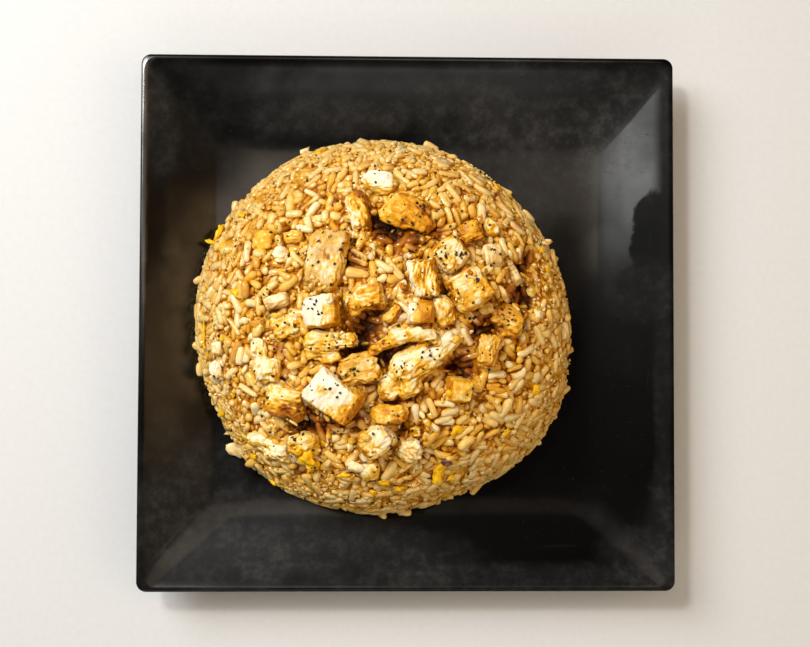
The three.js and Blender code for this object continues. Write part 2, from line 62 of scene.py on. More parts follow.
# value noise from -1 to 1: a random number at every whole-number corner, blended smoothly between
def noise(points, seed):
    base = np.floor(points).astype(np.int64)
    part = ramp(points - base, 0, 1)
    aboveZero = 4096
    lowBits = np.uint64(0xFFFFFFFF)
    total = np.zeros(len(points))
    for corner in np.ndindex(2, 2, 2):
        x, y, z = (base + corner + aboveZero).astype(np.uint64).T
        mixed = x * np.uint64(374761393) + y * np.uint64(668265263) + z * np.uint64(1442695041)
        mixed = (mixed + np.uint64(seed * 97 + 13)) & lowBits
        mixed = ((mixed ^ (mixed >> np.uint64(13))) * np.uint64(1274126177)) & lowBits
        mixed = mixed ^ (mixed >> np.uint64(16))
        weight = np.prod(np.where(corner, part, 1 - part), axis=1)
        total += weight * (mixed / 2.0**31 - 1)
    return total


# an output of a material's node; arithmetic on it adds Math nodes
class Wire:
    def __init__(self, finish, socket):
        self.finish = finish
        self.socket = socket

    def maths(self, operation, *values):
        return self.finish.node("ShaderNodeMath", {"operation": operation}, dict(enumerate(values)))

    def __add__(self, other):
        return self.maths("ADD", self, other)

    def __sub__(self, other):
        return self.maths("SUBTRACT", self, other)

    def __rsub__(self, other):
        return self.maths("SUBTRACT", other, self)

    def __mul__(self, other):
        return self.maths("MULTIPLY", self, other)

    __radd__ = __add__
    __rmul__ = __mul__

    # smooth step of the value between two limits
    def between(self, low, high):
        settings = {"interpolation_type": "SMOOTHSTEP"}
        inputs = {"Value": self, "From Min": low, "From Max": high}
        return self.finish.node("ShaderNodeMapRange", settings, inputs)


# a material with one Principled shader. fixed holds what is the same all over it, and node() makes
# every other node: settings are set first (stops are a ramp's), then the values or links of its sockets
class Finish:
    def __init__(self, name, fixed):
        self.material = bpy.data.materials.new(name)
        self.material.use_nodes = True
        self.tree = self.material.node_tree
        self.shader = self.tree.nodes["Principled BSDF"]
        for socket, value in fixed.items():
            self.shader.inputs[socket].default_value = value
        self.place = self.node("ShaderNodeTexCoord", {}, {}, "Object")

    def node(self, kind, settings, inputs, output=0):
        made = self.tree.nodes.new(kind)
        for key, value in settings.items():
            if key == "stops":
                stops = made.color_ramp.elements
                while len(stops) < len(value):
                    stops.new(0.5)
                for stop, (position, colour) in zip(stops, value):
                    stop.position = position
                    stop.color = (*colour, 1)
            else:
                setattr(made, key, value)
        for key, value in inputs.items():
            if isinstance(value, Wire):
                self.tree.links.new(value.socket, made.inputs[key])
            else:
                made.inputs[key].default_value = value
        return Wire(self, made.outputs[output])

    # values kept at the piece's points
    def attribute(self, name):
        return self.node("ShaderNodeAttribute", {"attribute_name": name}, {}, "Fac")

    # noise with features of about that many millimetres; stretch multiplies the three axes
    def cloud(self, size, detail=3.0, stretch=(1, 1, 1), shift=(0, 0, 0), rough=0.5):
        inputs = {"Vector": self.place, "Scale": stretch, "Location": shift}
        moved = self.node("ShaderNodeMapping", {}, inputs)
        inputs = {"Vector": moved, "Scale": 1 / (size * metre), "Detail": detail, "Roughness": rough}
        return self.node("ShaderNodeTexNoise", {}, inputs)

    # from the first colour to the second
    def mix(self, amount, first, second):
        colours = {6: first, 7: second}
        for socket, colour in colours.items():
            if not isinstance(colour, Wire):
                colours[socket] = (*colour, 1)
        return self.node("ShaderNodeMix", {"data_type": "RGBA"}, {0: amount, **colours}, 2)

    def feed(self, socket, wire):
        self.tree.links.new(wire.socket, self.shader.inputs[socket])

    # height in millimetres raises the surface's look
    def bump(self, height):
        self.feed("Normal", self.node("ShaderNodeBump", {}, {"Height": height, "Distance": metre}))


# a mesh object from points in millimetres and faces of three or four corners, with values per point
def addPiece(name, points, faces, finish, values=None, replaces=()):
    mesh = bpy.data.meshes.new(name)
    corners = np.concatenate([part.ravel() for part in faces]).astype(np.int32)
    sizes = np.concatenate([np.full(len(part), part.shape[1]) for part in faces])
    starts = (np.cumsum(sizes) - sizes).astype(np.int32)
    mesh.vertices.add(len(points))
    mesh.vertices.foreach_set("co", (points * metre).astype(np.float32).ravel())
    mesh.loops.add(len(corners))
    mesh.loops.foreach_set("vertex_index", corners)
    mesh.polygons.add(len(sizes))
    mesh.polygons.foreach_set("loop_start", starts)
    mesh.update(calc_edges=True)
    mesh.validate()
    mesh.polygons.foreach_set("use_smooth", np.ones(len(mesh.polygons), dtype=bool))
    for key, value in (values or {}).items():
        layer = mesh.attributes.new(key, "FLOAT", "POINT")
        layer.data.foreach_set("value", value.astype(np.float32))
    mesh.materials.append(finish.material)
    piece = bpy.data.objects.new(name, mesh)
    bpy.context.collection.objects.link(piece)
    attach(piece, "root")
    if replaces:
        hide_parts(*replaces)


# faces of a net of rings, each ring joined to the next and closed round
def ringFaces(rings, sides):
    ring, side = np.meshgrid(np.arange(rings - 1), np.arange(sides), indexing="ij")
    after = (side + 1) % sides
    here = ring * sides
    corners = [here + side, here + sides + side, here + sides + after, here + after]
    return np.stack(corners, axis=-1).reshape(-1, 4)


# faces from one middle point to a ring; flipped turns them over
def fanFaces(middle, ringStart, sides, flipped=False):
    side = np.arange(sides)
    after = (side + 1) % sides
    first, second = (after, side) if flipped else (side, after)
    return np.stack([np.full(sides, middle), ringStart + first, ringStart + second], axis=-1)


# the faces of n equal bodies in one mesh, each a tip, rings of points and another tip: a fan at each
# tip and quads between
def closedFaces(n, rings, sides):
    perBody = rings * sides + 2
    quads = ringFaces(rings, sides) + 1
    head = fanFaces(0, 1, sides)
    tail = fanFaces(perBody - 1, 1 + (rings - 1) * sides, sides, flipped=True)
    starts = (np.arange(n) * perBody)[:, None, None]
    return [(quads + starts).reshape(-1, 4), (np.concatenate([head, tail]) + starts).reshape(-1, 3)]


# the camera's place in millimetres, and where its right and upper sides point
view = {
    "position": (-14.4, -17.4, 556.8),
    "right": (0.99969, 0.00310, 0.02463),
    "up": (-0.003865, 0.99950, 0.03123),
    "lens": 50,
}
camera = bpy.data.objects.new("camera", bpy.data.cameras.new("camera"))
camera.data.lens = view["lens"]
camera.data.sensor_width = 36
right = Vector(view["right"]).normalized()
back = right.cross(Vector(view["up"])).normalized()
up = back.cross(right)
turned = Matrix((right, up, back)).transposed().to_4x4()
camera.matrix_world = Matrix.Translation(Vector(view["position"]) * metre) @ turned
camera.data.clip_start = 0.01
bpy.context.collection.objects.link(camera)
bpy.context.scene.camera = camera

# square lamps turned to the plate, in metres and watts. all but fill are also mirrored in it
lights = {
    "window": {"at": (-0.70, 0.54, 0.82), "size": (0.64, 0.6), "power": 12.4, "colour": (0.985, 0.99, 0.985)},
    "glint": {"at": (-0.44, 0.44, 0.98), "size": (0.13, 0.13), "power": 4.8, "colour": (1.0, 0.97, 0.92)},
    "warmWall": {"at": (0.80, 0.12, 0.80), "size": (0.60, 0.6), "power": 1.6, "colour": (1.0, 0.60, 0.26)},
    "ceiling": {"at": (0.02, 0.22, 0.90), "size": (0.86, 0.34), "power": 1.7, "colour": (1.0, 0.80, 0.62)},
    "frontWall": {"at": (-0.15, -0.95, 0.80), "size": (1.0, 0.5), "power": 2.2, "colour": (1.0, 0.95, 0.90)},
    "fill": {
        "at": (0.95, -0.45, 0.65), "size": (1.0, 1.0), "power": 4.8, "colour": (1.0, 0.87, 0.66),
        "mirrored": False,
    },
}
for name, light in lights.items():
    lamp = bpy.data.lights.new(name, "AREA")
    lamp.shape = "RECTANGLE"
    lamp.size, lamp.size_y = light["size"]
    lamp.energy = light["power"]
    lamp.color = light["colour"]
    holder = bpy.data.objects.new(name, lamp)
    holder.location = light["at"]
    holder.rotation_euler = (-Vector(light["at"])).to_track_quat("-Z", "Y").to_euler()
    holder.visible_glossy = light.get("mirrored", True)
    bpy.context.collection.objects.link(holder)

world = bpy.data.worlds.new("room")
world.use_nodes = True
background = world.node_tree.nodes["Background"]
background.inputs["Color"].default_value = (1.0, 0.93, 0.82, 1)
background.inputs["Strength"].default_value = 0.06
bpy.context.scene.world = world

floorFinish = Finish("paleFloor", {"Roughness": 0.8})
floorFinish.feed("Base Color", floorFinish.mix(floorFinish.cloud(3), (0.60, 0.61, 0.62), (0.66, 0.67, 0.68)))
floorHalf = 2000
floorPoints = np.array([(-1, -1, 0), (1, -1, 0), (1, 1, 0), (-1, 1, 0)]) * floorHalf
floorMesh = bpy.data.meshes.new("floor")
floorMesh.from_pydata((floorPoints * metre).tolist(), [], [(0, 1, 2, 3)])
floorMesh.materials.append(floorFinish.material)
floor = bpy.data.objects.new("floor", floorMesh)
bpy.context.collection.objects.link(floor)

bpy.context.scene.view_settings.view_transform = "Standard"
bpy.context.scene.view_settings.look = "None"

report("camera, light and floor")

plate = {
    # half side and the corners' radius there
    "corners": [(60, 11), (88, 12), (108, 11), (119, 9), (124, 6.5), (127, 4.6)],
    # half side and height: out over the eating surface, round the lip, back underneath and round the foot
    "eating": [
        (70, 7), (79, 7.05), (86, 7.55), (92, 8.9), (98, 11.4), (108, 16), (118.5, 21.6), (122.6, 23.9),
        (125.0, 25),
    ],
    "underside": [
        (126.5, 24.65), (127, 23.7), (126.6, 22.6), (124.8, 21.3), (109.5, 13.2), (95, 6), (89, 3.2),
        (81, 2.6),
    ],
    "foot": [(79.8, 1.2), (79.3, 0.1), (78.5, 0), (75, 0), (74.2, 0.1), (73.6, 1.2), (72.5, 2.5), (60, 2.5)],
    "wellHeight": 7,  # the middle of the eating surface
    "baseHeight": 2.5,  # the middle of the underside
    "cornerSteps": 10,
    "sideSteps": 14,
}


# corners of a polyline cut off again and again, which leaves a smooth curve inside it
def cutCorners(points, rounds):
    for _ in range(rounds):
        ahead = points[1:]
        behind = points[:-1]
        cut = np.stack([0.75 * behind + 0.25 * ahead, 0.25 * behind + 0.75 * ahead], axis=1)
        points = np.concatenate([points[:1], cut.reshape(-1, 2), points[-1:]])
    return points


# height of the eating surface over points, from the larger of their two distances from the middle
def plateTop(points):
    half, height = np.array(plate["eating"]).T
    return np.interp(np.abs(points[:, :2]).max(axis=1), half, height)


# lifts what is less than a clearance above the plate
def keepOffPlate(points, clearance):
    points[:, 2] = np.maximum(points[:, 2], plateTop(points) + clearance)


# rings of a rounded square for every point of the profile: an arc at each corner, as wide as the
# corner's radius there, and a straight line from each arc's end to the next arc's start
def plateRings(profile):
    half = profile[:, :1]
    corner = np.minimum(np.interp(half, *np.array(plate["corners"]).T), half * 0.5)
    arcs = []
    for quarter, (signX, signY) in enumerate([(1, 1), (-1, 1), (-1, -1), (1, -1)]):
        angle = (quarter + np.linspace(0, 1, plate["cornerSteps"] + 1)) * np.pi / 2
        x = signX * (half - corner) + corner * np.cos(angle)
        y = signY * (half - corner) + corner * np.sin(angle)
        arcs.append(np.stack([x, y], axis=-1))
    along = np.linspace(0, 1, plate["sideSteps"] + 1)[1:-1].reshape(1, -1, 1)
    ring = []
    for arc, after in zip(arcs, arcs[1:] + arcs[:1]):
        start = arc[:, -1:]
        ring += [arc, start + (after[:, :1] - start) * along]
    flat = np.concatenate(ring, axis=1)
    height = np.broadcast_to(profile[:, 1:], flat.shape[:2])[..., None]
    return np.concatenate([flat, height], axis=-1)


well = np.array([(half, plate["wellHeight"]) for half in (2, 20, 40, 55)])
base = np.array([(half, plate["baseHeight"]) for half in (40, 20, 2)])
profile = cutCorners(np.array(plate["eating"] + plate["underside"] + plate["foot"], dtype=float), 3)
rings = plateRings(np.concatenate([well, profile, base]))
ringCount, sideCount = rings.shape[:2]
middlePoints = [[0, 0, plate["wellHeight"]], [0, 0, plate["baseHeight"]]]
platePoints = np.concatenate([rings.reshape(-1, 3), middlePoints])
topMiddle = ringCount * sideCount
plateFaces = [
    ringFaces(ringCount, sideCount),
    fanFaces(topMiddle, 0, sideCount),
    fanFaces(topMiddle + 1, (ringCount - 1) * sideCount, sideCount, flipped=True),
]

# worn patches of the plate: x, y, half width, half height and strength. hazes are grey dust in its
# surface, glosses are where it still shines and dulls where it doesn't, and rubbed ones have hard
# edges. lipSide is a stretch of the right lip's inner side that is dull: two x and two y
worn = {
    "hazes": [
        (-86, -113, 26, 15, 0.9), (-68, -99, 27, 20, 0.75), (-112, -80, 14, 34, 0.5),
        (-24, -112, 50, 13, 0.75), (112, -112, 18, 12, 0.6), (122, -30, 4, 60, 0.4),
        (-30, 108, 60, 14, 0.35), (64, 106, 50, 18, 0.8), (-38, 99, 34, 9, 0.7), (108, 84, 18, 30, 0.35),
        (-110, 100, 22, 26, 0.3), (62, 78, 44, 26, 0.8), (-77, 76, 12, 26, 0.28), (60, -122, 76, 7, 0.6),
        (97, 84, 13, 16, 0.7), (20, 104, 30, 20, 0.35), (-118, -100, 12, 30, 0.55), (-119, 92, 8, 24, 0.6),
        (-92, -72, 14, 20, 0.6), (112, 116, 16, 8, 0.7), (112, 16, 16, 14, 0.4), (122, -104, 7, 30, 0.5),
    ],
    "glosses": [
        (100, 66, 18, 42, 0.14), (-94, 14, 19, 46, 0.7), (-64, 88, 40, 24, 0.16), (-42, 96, 32, 10, 0.35),
        (18, 112, 78, 18, 0.95), (-60, -108, 60, 18, 0.25), (-60, 62, 34, 20, 0.5),
        (-126.2, 70, 2.6, 90, 2.0), (-114, -12, 13, 40, 0.4), (-60, 92, 16, 9, 0.3), (96, 34, 10, 12, 0.3),
    ],
    "dulls": [
        (108, -40, 28, 66, 1.0), (78, 4, 16, 44, 0.8), (-121, 66, 6, 32, 0.6), (-100, 88, 22, 26, 0.75),
        (-112, 112, 16, 10, 0.5), (60, -104, 60, 26, 0.7),
    ],
    "rubbed": [(119, 42, 11, 21, 1.0), (112, 18, 10, 10, 0.8)],
    "lipSide": (116.5, 122.5, -120, -100),
}

wornBlack = Finish("wornBlack", {"Specular IOR Level": 0.045, "Coat Roughness": 0.17})
across = wornBlack.node("ShaderNodeSeparateXYZ", {}, {0: wornBlack.place}, 0)
along = wornBlack.node("ShaderNodeSeparateXYZ", {}, {0: wornBlack.place}, 1)
ragged = (wornBlack.cloud(14, 5, rough=0.6) - 0.5) * 1.8


# a patch: u^2 + v^2 plus a ragged noise, eased from full strength under 1 - soft to none over 1 + soft
def patchOn(x, y, halfWidth, halfHeight, strength, soft=0.9):
    u = (across - x * metre) * (1 / (halfWidth * metre))
    v = (along - y * metre) * (1 / (halfHeight * metre))
    return (u * u + v * v + ragged).between(1.0 + soft, 1.0 - soft) * strength


haze = wornBlack.cloud(50, 4, shift=(0.3, 0.1, 0)).between(0.45, 0.75) * 0.15
gloss = wornBlack.cloud(36, 4, shift=(0.1, 0.5, 0)).between(0.3, 0.7) * 0.18 + 0.16
for patch in worn["hazes"]:
    haze = haze + patchOn(*patch)
for patch in worn["glosses"]:
    gloss = gloss + patchOn(*patch)
for patch in worn["dulls"]:
    gloss = gloss * (1 - patchOn(*patch))
for patch in worn["rubbed"]:
    gloss = gloss * (1 - patchOn(*patch, soft=0.15))
lipLeft, lipRight, lipFront, lipBack = np.array(worn["lipSide"]) * metre
gloss = gloss * (1 - across.between(lipLeft, lipRight) * along.between(lipFront, lipBack))
dust = wornBlack.cloud(6, 6, rough=0.7).between(0.40, 0.75)
fine = wornBlack.cloud(0.9, 3)
specks = wornBlack.cloud(1.6, 2, shift=(0.7, 0.2, 0)).between(0.70, 0.76)
strokesOne = wornBlack.cloud(2.2, 3, stretch=(0.05, 1, 1)).between(0.66, 0.74)
strokesTwo = wornBlack.cloud(1.8, 3, stretch=(1, 0.06, 1), shift=(0.1, 0.4, 0)).between(0.68, 0.75)
greyed = haze * (0.35 + dust * 0.65) + specks * 0.35 + (strokesOne + strokesTwo) * 0.10
black = wornBlack.mix(greyed * 0.8, (0.0010, 0.0009, 0.0008), (0.034, 0.034, 0.034))
wornBlack.feed("Base Color", black)
wornBlack.feed("Roughness", 0.42 + haze * 0.12 + specks * 0.2)
wornBlack.feed("Coat Weight", gloss * (1 - dust * haze * 0.4) - strokesOne * 0.15)
wornBlack.bump(fine * 0.010 + dust * 0.008 - strokesOne * 0.01 - strokesTwo * 0.01)
addPiece("dinnerPlate", platePoints, plateFaces, wornBlack, replaces=["plate"])

report("plate")

heap = {
    "centre": (-12, -1),
    "radius": 89.5,
    "foot": 7.0,  # height that it stands at
    "height": 52.0,
    "shoulder": 2.4,  # the larger, the squarer the shoulder
    "flank": 0.6,  # the smaller, the steeper the side
    # where the side has slumped: angle, how far as a share of the radius, and width in radians
    "slumps": [
        (-0.50, 0.046, 0.42), (-2.15, 0.036, 0.34), (-1.65, 0.012, 0.25), (2.30, 0.008, 0.5),
        (0.70, -0.008, 0.5),
    ],
    # where it has crumbled loose: angle, share of the radius and width in radians
    "crumbled": [(-2.35, 0.17, 0.40), (0.30, 0.10, 0.35)],
    "looseTo": 60,  # the top is all loose inside this radius
    "bandFrom": 85,  # and smooth and moulded outside this one
    # dark pockets: x, y, radius and depth
    "hollows": [
        (22, -22, 5, 8), (-46.5, -45, 5.5, 7), (-24, -10, 6, 6), (51, 12, 5, 7), (51, 5, 4.5, 5),
        (56, 32, 3, 2.6), (52, 26, 3.5, 4), (37, -1, 4.5, 6), (-9, 40, 5, 6), (-17, 42, 4, 4),
        (-50, -68, 4, 3), (14, 12, 3.5, 5), (11, 40, 3.5, 3), (-5, -14, 4.5, 5), (-14, -18, 5, 4),
        (-20, 2, 5, 3), (-9, -36, 5, 3.5), (-33, -15, 4, 3), (30, -6, 3, 4), (-3, -48, 4, 3),
        (-58, -13, 3, 3), (-58, -28, 3.5, 3), (-28, 26, 3, 4), (2, 31, 3, 3),
    ],
    # glaze that has collected between the toppings, painted dark with the shade there: x, y, radius and
    # strength
    "glazePoolsAndShade": [
        (-20, -4, 7, 0.9), (-26, -10, 6, 0.9), (-14, -14, 5, 0.8), (-8, -22, 5, 0.6), (-18, -28, 4, 0.7),
        (-6, -34, 6, 0.6), (-16, 2, 4, 0.7), (-16, 43, 5, 0.9), (-7, 39, 5, 0.9), (3, 37, 4, 0.7),
        (11, 40, 4, 0.7), (-26, 27, 4, 0.8), (-3, 28, 3, 0.4), (26, 34, 4, 0.6), (55, 31, 4, 0.45),
        (51, 24, 4, 0.7), (50, 12, 5, 0.95), (51, 3, 4, 0.8), (36, -1, 5, 0.9), (29, -6, 4, 0.8),
        (14, 12, 4, 0.9), (22, -22, 5.5, 1.0), (-46, -46, 6, 1.0), (-55, -51, 4, 0.3), (-31, -44, 5, 0.7),
        (-39, -46, 4, 0.7), (-24, -44, 5, 0.5), (-33, -16, 4, 0.8), (-58, -13, 3.5, 0.6), (-58, -28, 4, 0.3),
        (-63, -33, 4, 0.2), (-50, -67, 4.5, 0.2), (-3, -48, 4, 0.7), (4, -56, 3, 0.4), (-41, 4, 4, 0.4),
        (43, 60, 3.5, 0.45), (52, 46, 4, 0.45), (22, 61, 3, 0.4), (48, -30, 5, 0.25), (-62, 20, 5, 0.25),
        (34, 47, 4, 0.3),
    ],
}


# radius, height and outward normal down the flank: (r/R)^shoulder + (z/H)^(1/flank) = 1, evenly spaced
def flankLine(count):
    angle = np.linspace(0, np.pi / 2, 4000)
    radius = heap["radius"] * np.sin(angle) ** (2 / heap["shoulder"])
    height = heap["foot"] + heap["height"] * np.cos(angle) ** (2 * heap["flank"])
    length = np.concatenate([[0], np.cumsum(np.hypot(np.diff(radius), np.diff(height)))])
    even = np.linspace(0, length[-1], count)
    line = np.stack([np.interp(even, length, radius), np.interp(even, length, height)], axis=1)
    along = unit(np.gradient(line, axis=0))
    return line, np.stack([-along[:, 1], along[:, 0]], axis=1), even


# a smooth hump round one direction: exp(-(turn / width)^2)
def humpAt(angle, towards, width):
    turn = (angle - towards + np.pi) % (2 * np.pi) - np.pi
    return np.exp(-((turn / width) ** 2))


# how much wider the heap is at an angle: two slow waves and the slumps
def sagging(angle):
    wider = 1.007 + 0.007 * np.sin(2 * angle + 2.6) + 0.003 * np.sin(7 * angle)
    for towards, share, width in heap["slumps"]:
        wider = wider + share * humpAt(angle, towards, width)
    return wider


# how loose the top is at a place: 1 in the middle and 0 in the moulded band round it, which is
# narrower where the side has crumbled
def looseness(points):
    x, y = (points[:, :2] - heap["centre"]).T
    r = np.hypot(x, y)
    for towards, share, width in heap["crumbled"]:
        r = r * (1 - share * humpAt(np.arctan2(y, x), towards, width))
    return 1 - ramp(r, heap["looseTo"], heap["bandFrom"])


# how deep the dark pockets are: the sum of each one's depth times exp(-(distance / (radius + 1))^2)
def pocket(points):
    depth = 0
    for x, y, radius, deep in heap["hollows"]:
        away = (points[:, 0] - x) ** 2 + (points[:, 1] - y) ** 2
        depth = depth + deep * np.exp(-away / (radius + 1) ** 2)
    return depth


# how dark the glaze is painted, in the pockets and where it collects between the toppings, part glaze and
# part
# painted shade: 1 less the product of what every patch leaves clear
def poolShading(points):
    amount = ramp(pocket(points), 1.2, 4.5)
    for x, y, radius, strength in heap["glazePoolsAndShade"]:
        away = (points[:, 0] - x) ** 2 + (points[:, 1] - y) ** 2
        near = strength * np.exp(-((away / (1.2 * radius) ** 2) ** 1.5))
        amount = 1 - (1 - amount) * (1 - near)
    return amount


# slow waves where the top is loose, less the pockets
def relief(points):
    x, y = points[:, :2].T
    waves = 1.1 * np.sin(0.13 * x + 0.6) * np.sin(0.15 * y + 1.1)
    waves = waves + 0.8 * np.sin(0.29 * x - 0.21 * y + 2.0) + 0.5 * np.sin(0.23 * x + 0.37 * y)
    return looseness(points) * waves - pocket(points)


# distances from the flank on a grid of radius and height, so that they can be looked up
tableStep = 0.5
tableRadius = np.arange(0, 120, tableStep)
tableHeight = np.arange(0, 85, tableStep)
flankPoints, flankNormals, flankArc = flankLine(700)
gridR, gridZ = np.meshgrid(tableRadius, tableHeight, indexing="ij")
distance = np.stack([
    np.hypot(rowR[:, None] - flankPoints[:, 0], rowZ[:, None] - flankPoints[:, 1]).min(axis=1)
    for rowR, rowZ in zip(gridR, gridZ)
])
fullness = (gridR / heap["radius"]) ** heap["shoulder"]
fullness = fullness + (np.maximum(gridZ - heap["foot"], 0) / heap["height"]) ** (1 / heap["flank"])
distance = np.where(fullness < 1, -distance, distance)
slopeR, slopeZ = np.gradient(distance, tableStep)


# a table's value p of a cell past column i and q past row j, mixed from the four corners
def lookUp(table, i, j, p, q):
    value = (1 - p) * (1 - q) * table[i, j] + p * (1 - q) * table[i + 1, j]
    return value + (1 - p) * q * table[i, j + 1] + p * q * table[i + 1, j + 1]


# signed distance from the heap's surface, and the direction out of it, for points in space
def outness(points):
    x, y = (points[:, :2] - heap["centre"]).T
    r = np.hypot(x, y)
    u = np.clip(r / sagging(np.arctan2(y, x)) / tableStep, 0, len(tableRadius) - 1.01)
    v = np.clip(points[:, 2] / tableStep, 0, len(tableHeight) - 1.01)
    i, j = u.astype(int), v.astype(int)
    away, outR, outZ = [lookUp(table, i, j, u - i, v - j) for table in (distance, slopeR, slopeZ)]
    ease = np.maximum(r, 1e-6)
    out = unit(np.stack([outR * x / ease, outR * y / ease, outZ], axis=1))
    return away - relief(points), out


# points on the heap at a length along the flank and an angle, moved out by lift along the normal
def onHeap(arc, angle, lift):
    flank = np.concatenate([flankPoints, flankNormals], axis=1).T
    radius, height, outward, upward = [np.interp(arc, flankArc, part) for part in flank]
    ways = np.stack([np.cos(angle), np.sin(angle)], axis=1)
    places = heap["centre"] + (radius * sagging(angle))[:, None] * ways
    out = lift + relief(places)
    return np.column_stack([places + (out * outward)[:, None] * ways, height + out * upward])


toppingKinds = ("chicken", "egg", "onion")
toppingNames = sorted(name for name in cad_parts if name.split("_")[0] in toppingKinds)


# a node's corners and triangles in millimetres
def nodeMesh(name):
    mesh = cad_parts[name].data
    points = np.empty(len(mesh.vertices) * 3)
    mesh.vertices.foreach_get("co", points)
    mesh.calc_loop_triangles()
    triangles = np.empty(len(mesh.loop_triangles) * 3, dtype=np.int32)
    mesh.loop_triangles.foreach_get("vertices", triangles)
    return points.reshape(-1, 3) / metre, triangles.reshape(-1, 3)


# many points inside every triangle, on an even grid of its corners' weights
def fillTriangles(corners, steps):
    a, b = np.meshgrid(np.arange(steps + 1), np.arange(steps + 1))
    a, b = a[a + b <= steps] / steps, b[a + b <= steps] / steps
    weights = np.stack([a, b, 1 - a - b], axis=1)
    return np.einsum("wk,tkx->twx", weights, corners).reshape(-1, 3)


# what the toppings cover, seen from above on a grid of one millimetre, and how far each cell is from
# the nearest edge of that
fieldOrigin = np.array([-112.0, -104.0])
fieldSize = (210, 210)
covered = np.zeros(fieldSize, dtype=bool)
for name in toppingNames:
    points, triangles = nodeMesh(name)
    cells = np.floor(fillTriangles(points[triangles], 16)[:, :2] - fieldOrigin).astype(int)
    covered[cells[:, 0], cells[:, 1]] = True
inside = covered.copy()
for axis in (0, 1):
    inside &= np.roll(covered, 1, axis) & np.roll(covered, -1, axis)
edgeX, edgeY = np.argwhere(covered & ~inside).astype(float).T
cellY = np.arange(fieldSize[1])[:, None]
apart = np.stack([np.hypot(x - edgeX, cellY - edgeY).min(axis=1) for x in range(fieldSize[0])])
apart = np.where(covered, -apart, apart)
apartX, apartY = np.gradient(apart)


# distance from the nearest topping's outline, less than 0 under it, and the way out
def footprint(points):
    u = np.clip(points[:, :2] - fieldOrigin - 0.5, 0, np.array(fieldSize) - 1.01)
    i, j = u.astype(int).T
    p, q = (u - np.floor(u)).T
    outline, outX, outY = [lookUp(table, i, j, p, q) for table in (apart, apartX, apartY)]
    return outline, unit(np.stack([outX, outY, np.zeros(len(points))], axis=1))


report("heap form and footprints")


# rows of three values added up by the point that each belongs to
def gathered(which, rows, count):
    return np.stack([np.bincount(which, rows[:, axis], count) for axis in range(3)], axis=1)


# a grain of rice: mean and spread of its length and width, and the limits of both
grain = {
    "length": (9.7, 1.4),
    "lengthLimits": (6.2, 12.4),
    "width": (3.85, 0.45),
    "widthLimits": (3.0, 4.9),
    "broken": 0.13,  # share of grains that are broken
    "brokenTo": (0.5, 0.75),  # and what is left of them
    # where its rings stand, from -1 at one tip to 1 at the other
    "stations": np.array([-0.95, -0.77, -0.32, 0.32, 0.77, 0.95]),
    "sides": 8,
    "thin": 0.86,  # thickness as a share of its width
    "uneven": 0.32,  # height of the lumps on it
}

# how the grains are packed. every grain is four beads in a row, and every round pushes beads that
# overlap apart, pulls all of them inwards and moves them off the toppings and the plate
packing = {
    # how many grains start in each layer, between which two lifts, and inside which radius
    "surface": (2650, -1.6, -0.2),
    "under": (1500, -4.6, -2.6),
    "loose": (820, 0.6, 3.0, 72),
    "thinned": 0.85,  # share of the grains left out where glaze collects and shade is painted
    "radius": 1.25,  # of a bead
    "deepest": 5.2,  # below the heap's surface
    "flush": 1.05,  # how far grains may stand out of the moulded band
    "proud": 6,  # and how much further out of the loose top
    "rounds": 150,
    "renewed": 6,  # rounds between two searches for neighbours
    "search": 1.2,  # how much further than touching that search looks
    "spread": 0.55,  # share of a bead's hits that its push is divided by
    "pulls": (0.10, 0.04),  # inwards in each round, at first and in the last rounds
    "firstRounds": 0.7,
    "back": 0.8,  # share of a step back to the heap or off the plate taken in one round
    "off": 0.6,  # and of a step off the toppings
    "seed": 7,
}


# pairs of points nearer than reach, found by sorting the points into cells of that size
def nearPairs(points, reach):
    aboveZero = 100
    strides = np.array([512 * 512, 512, 1])  # one cell along each axis
    key = (np.floor(points / reach).astype(np.int64) + aboveZero) @ strides
    order = np.argsort(key)
    keys = key[order]
    ones, others = [], []
    for step in np.ndindex(3, 3, 3):
        offset = (np.array(step) - 1) @ strides
        if offset < 0:
            continue
        first = np.searchsorted(keys, key + offset, "left")
        count = np.searchsorted(keys, key + offset, "right") - first
        one = np.repeat(np.arange(len(points)), count)
        within = np.arange(count.sum()) - np.repeat(np.cumsum(count) - count, count)
        other = order[np.repeat(first, count) + within]
        keep = one < other if offset == 0 else np.ones(len(one), dtype=bool)
        ones.append(one[keep])
        others.append(other[keep])
    one, other = np.concatenate(ones), np.concatenate(others)
    gap = points[one] - points[other]
    close = np.einsum("ij,ij->i", gap, gap) < reach**2
    return one[close], other[close]


# even places on the heap between two lifts: lengths along the flank drawn in proportion to its girth
def scatterOnHeap(draw, count, low, high, limit=np.inf):
    girth = np.cumsum(flankPoints[:, 0] * (flankPoints[:, 0] < limit))
    arc = np.interp(draw.random(count) * girth[-1], girth, flankArc)
    angle = draw.random(count) * 2 * np.pi
    return onHeap(arc, angle, low + (high - low) * draw.random(count))


draw = np.random.default_rng(packing["seed"])
middles = np.concatenate([
    scatterOnHeap(draw, *packing[layer]) for layer in ("surface", "under", "loose")
])
isLoose = np.arange(len(middles)) >= packing["surface"][0] + packing["under"][0]
under, _ = footprint(middles)
inPoolShade = poolShading(middles) > 0.72
thinned = inPoolShade & (draw.random(len(middles)) < packing["thinned"])
keep = np.where(isLoose, under > 1.5, under > -4.5) & (middles[:, 2] > 8.2) & ~thinned
middles, isLoose = middles[keep], isLoose[keep]
count = len(middles)

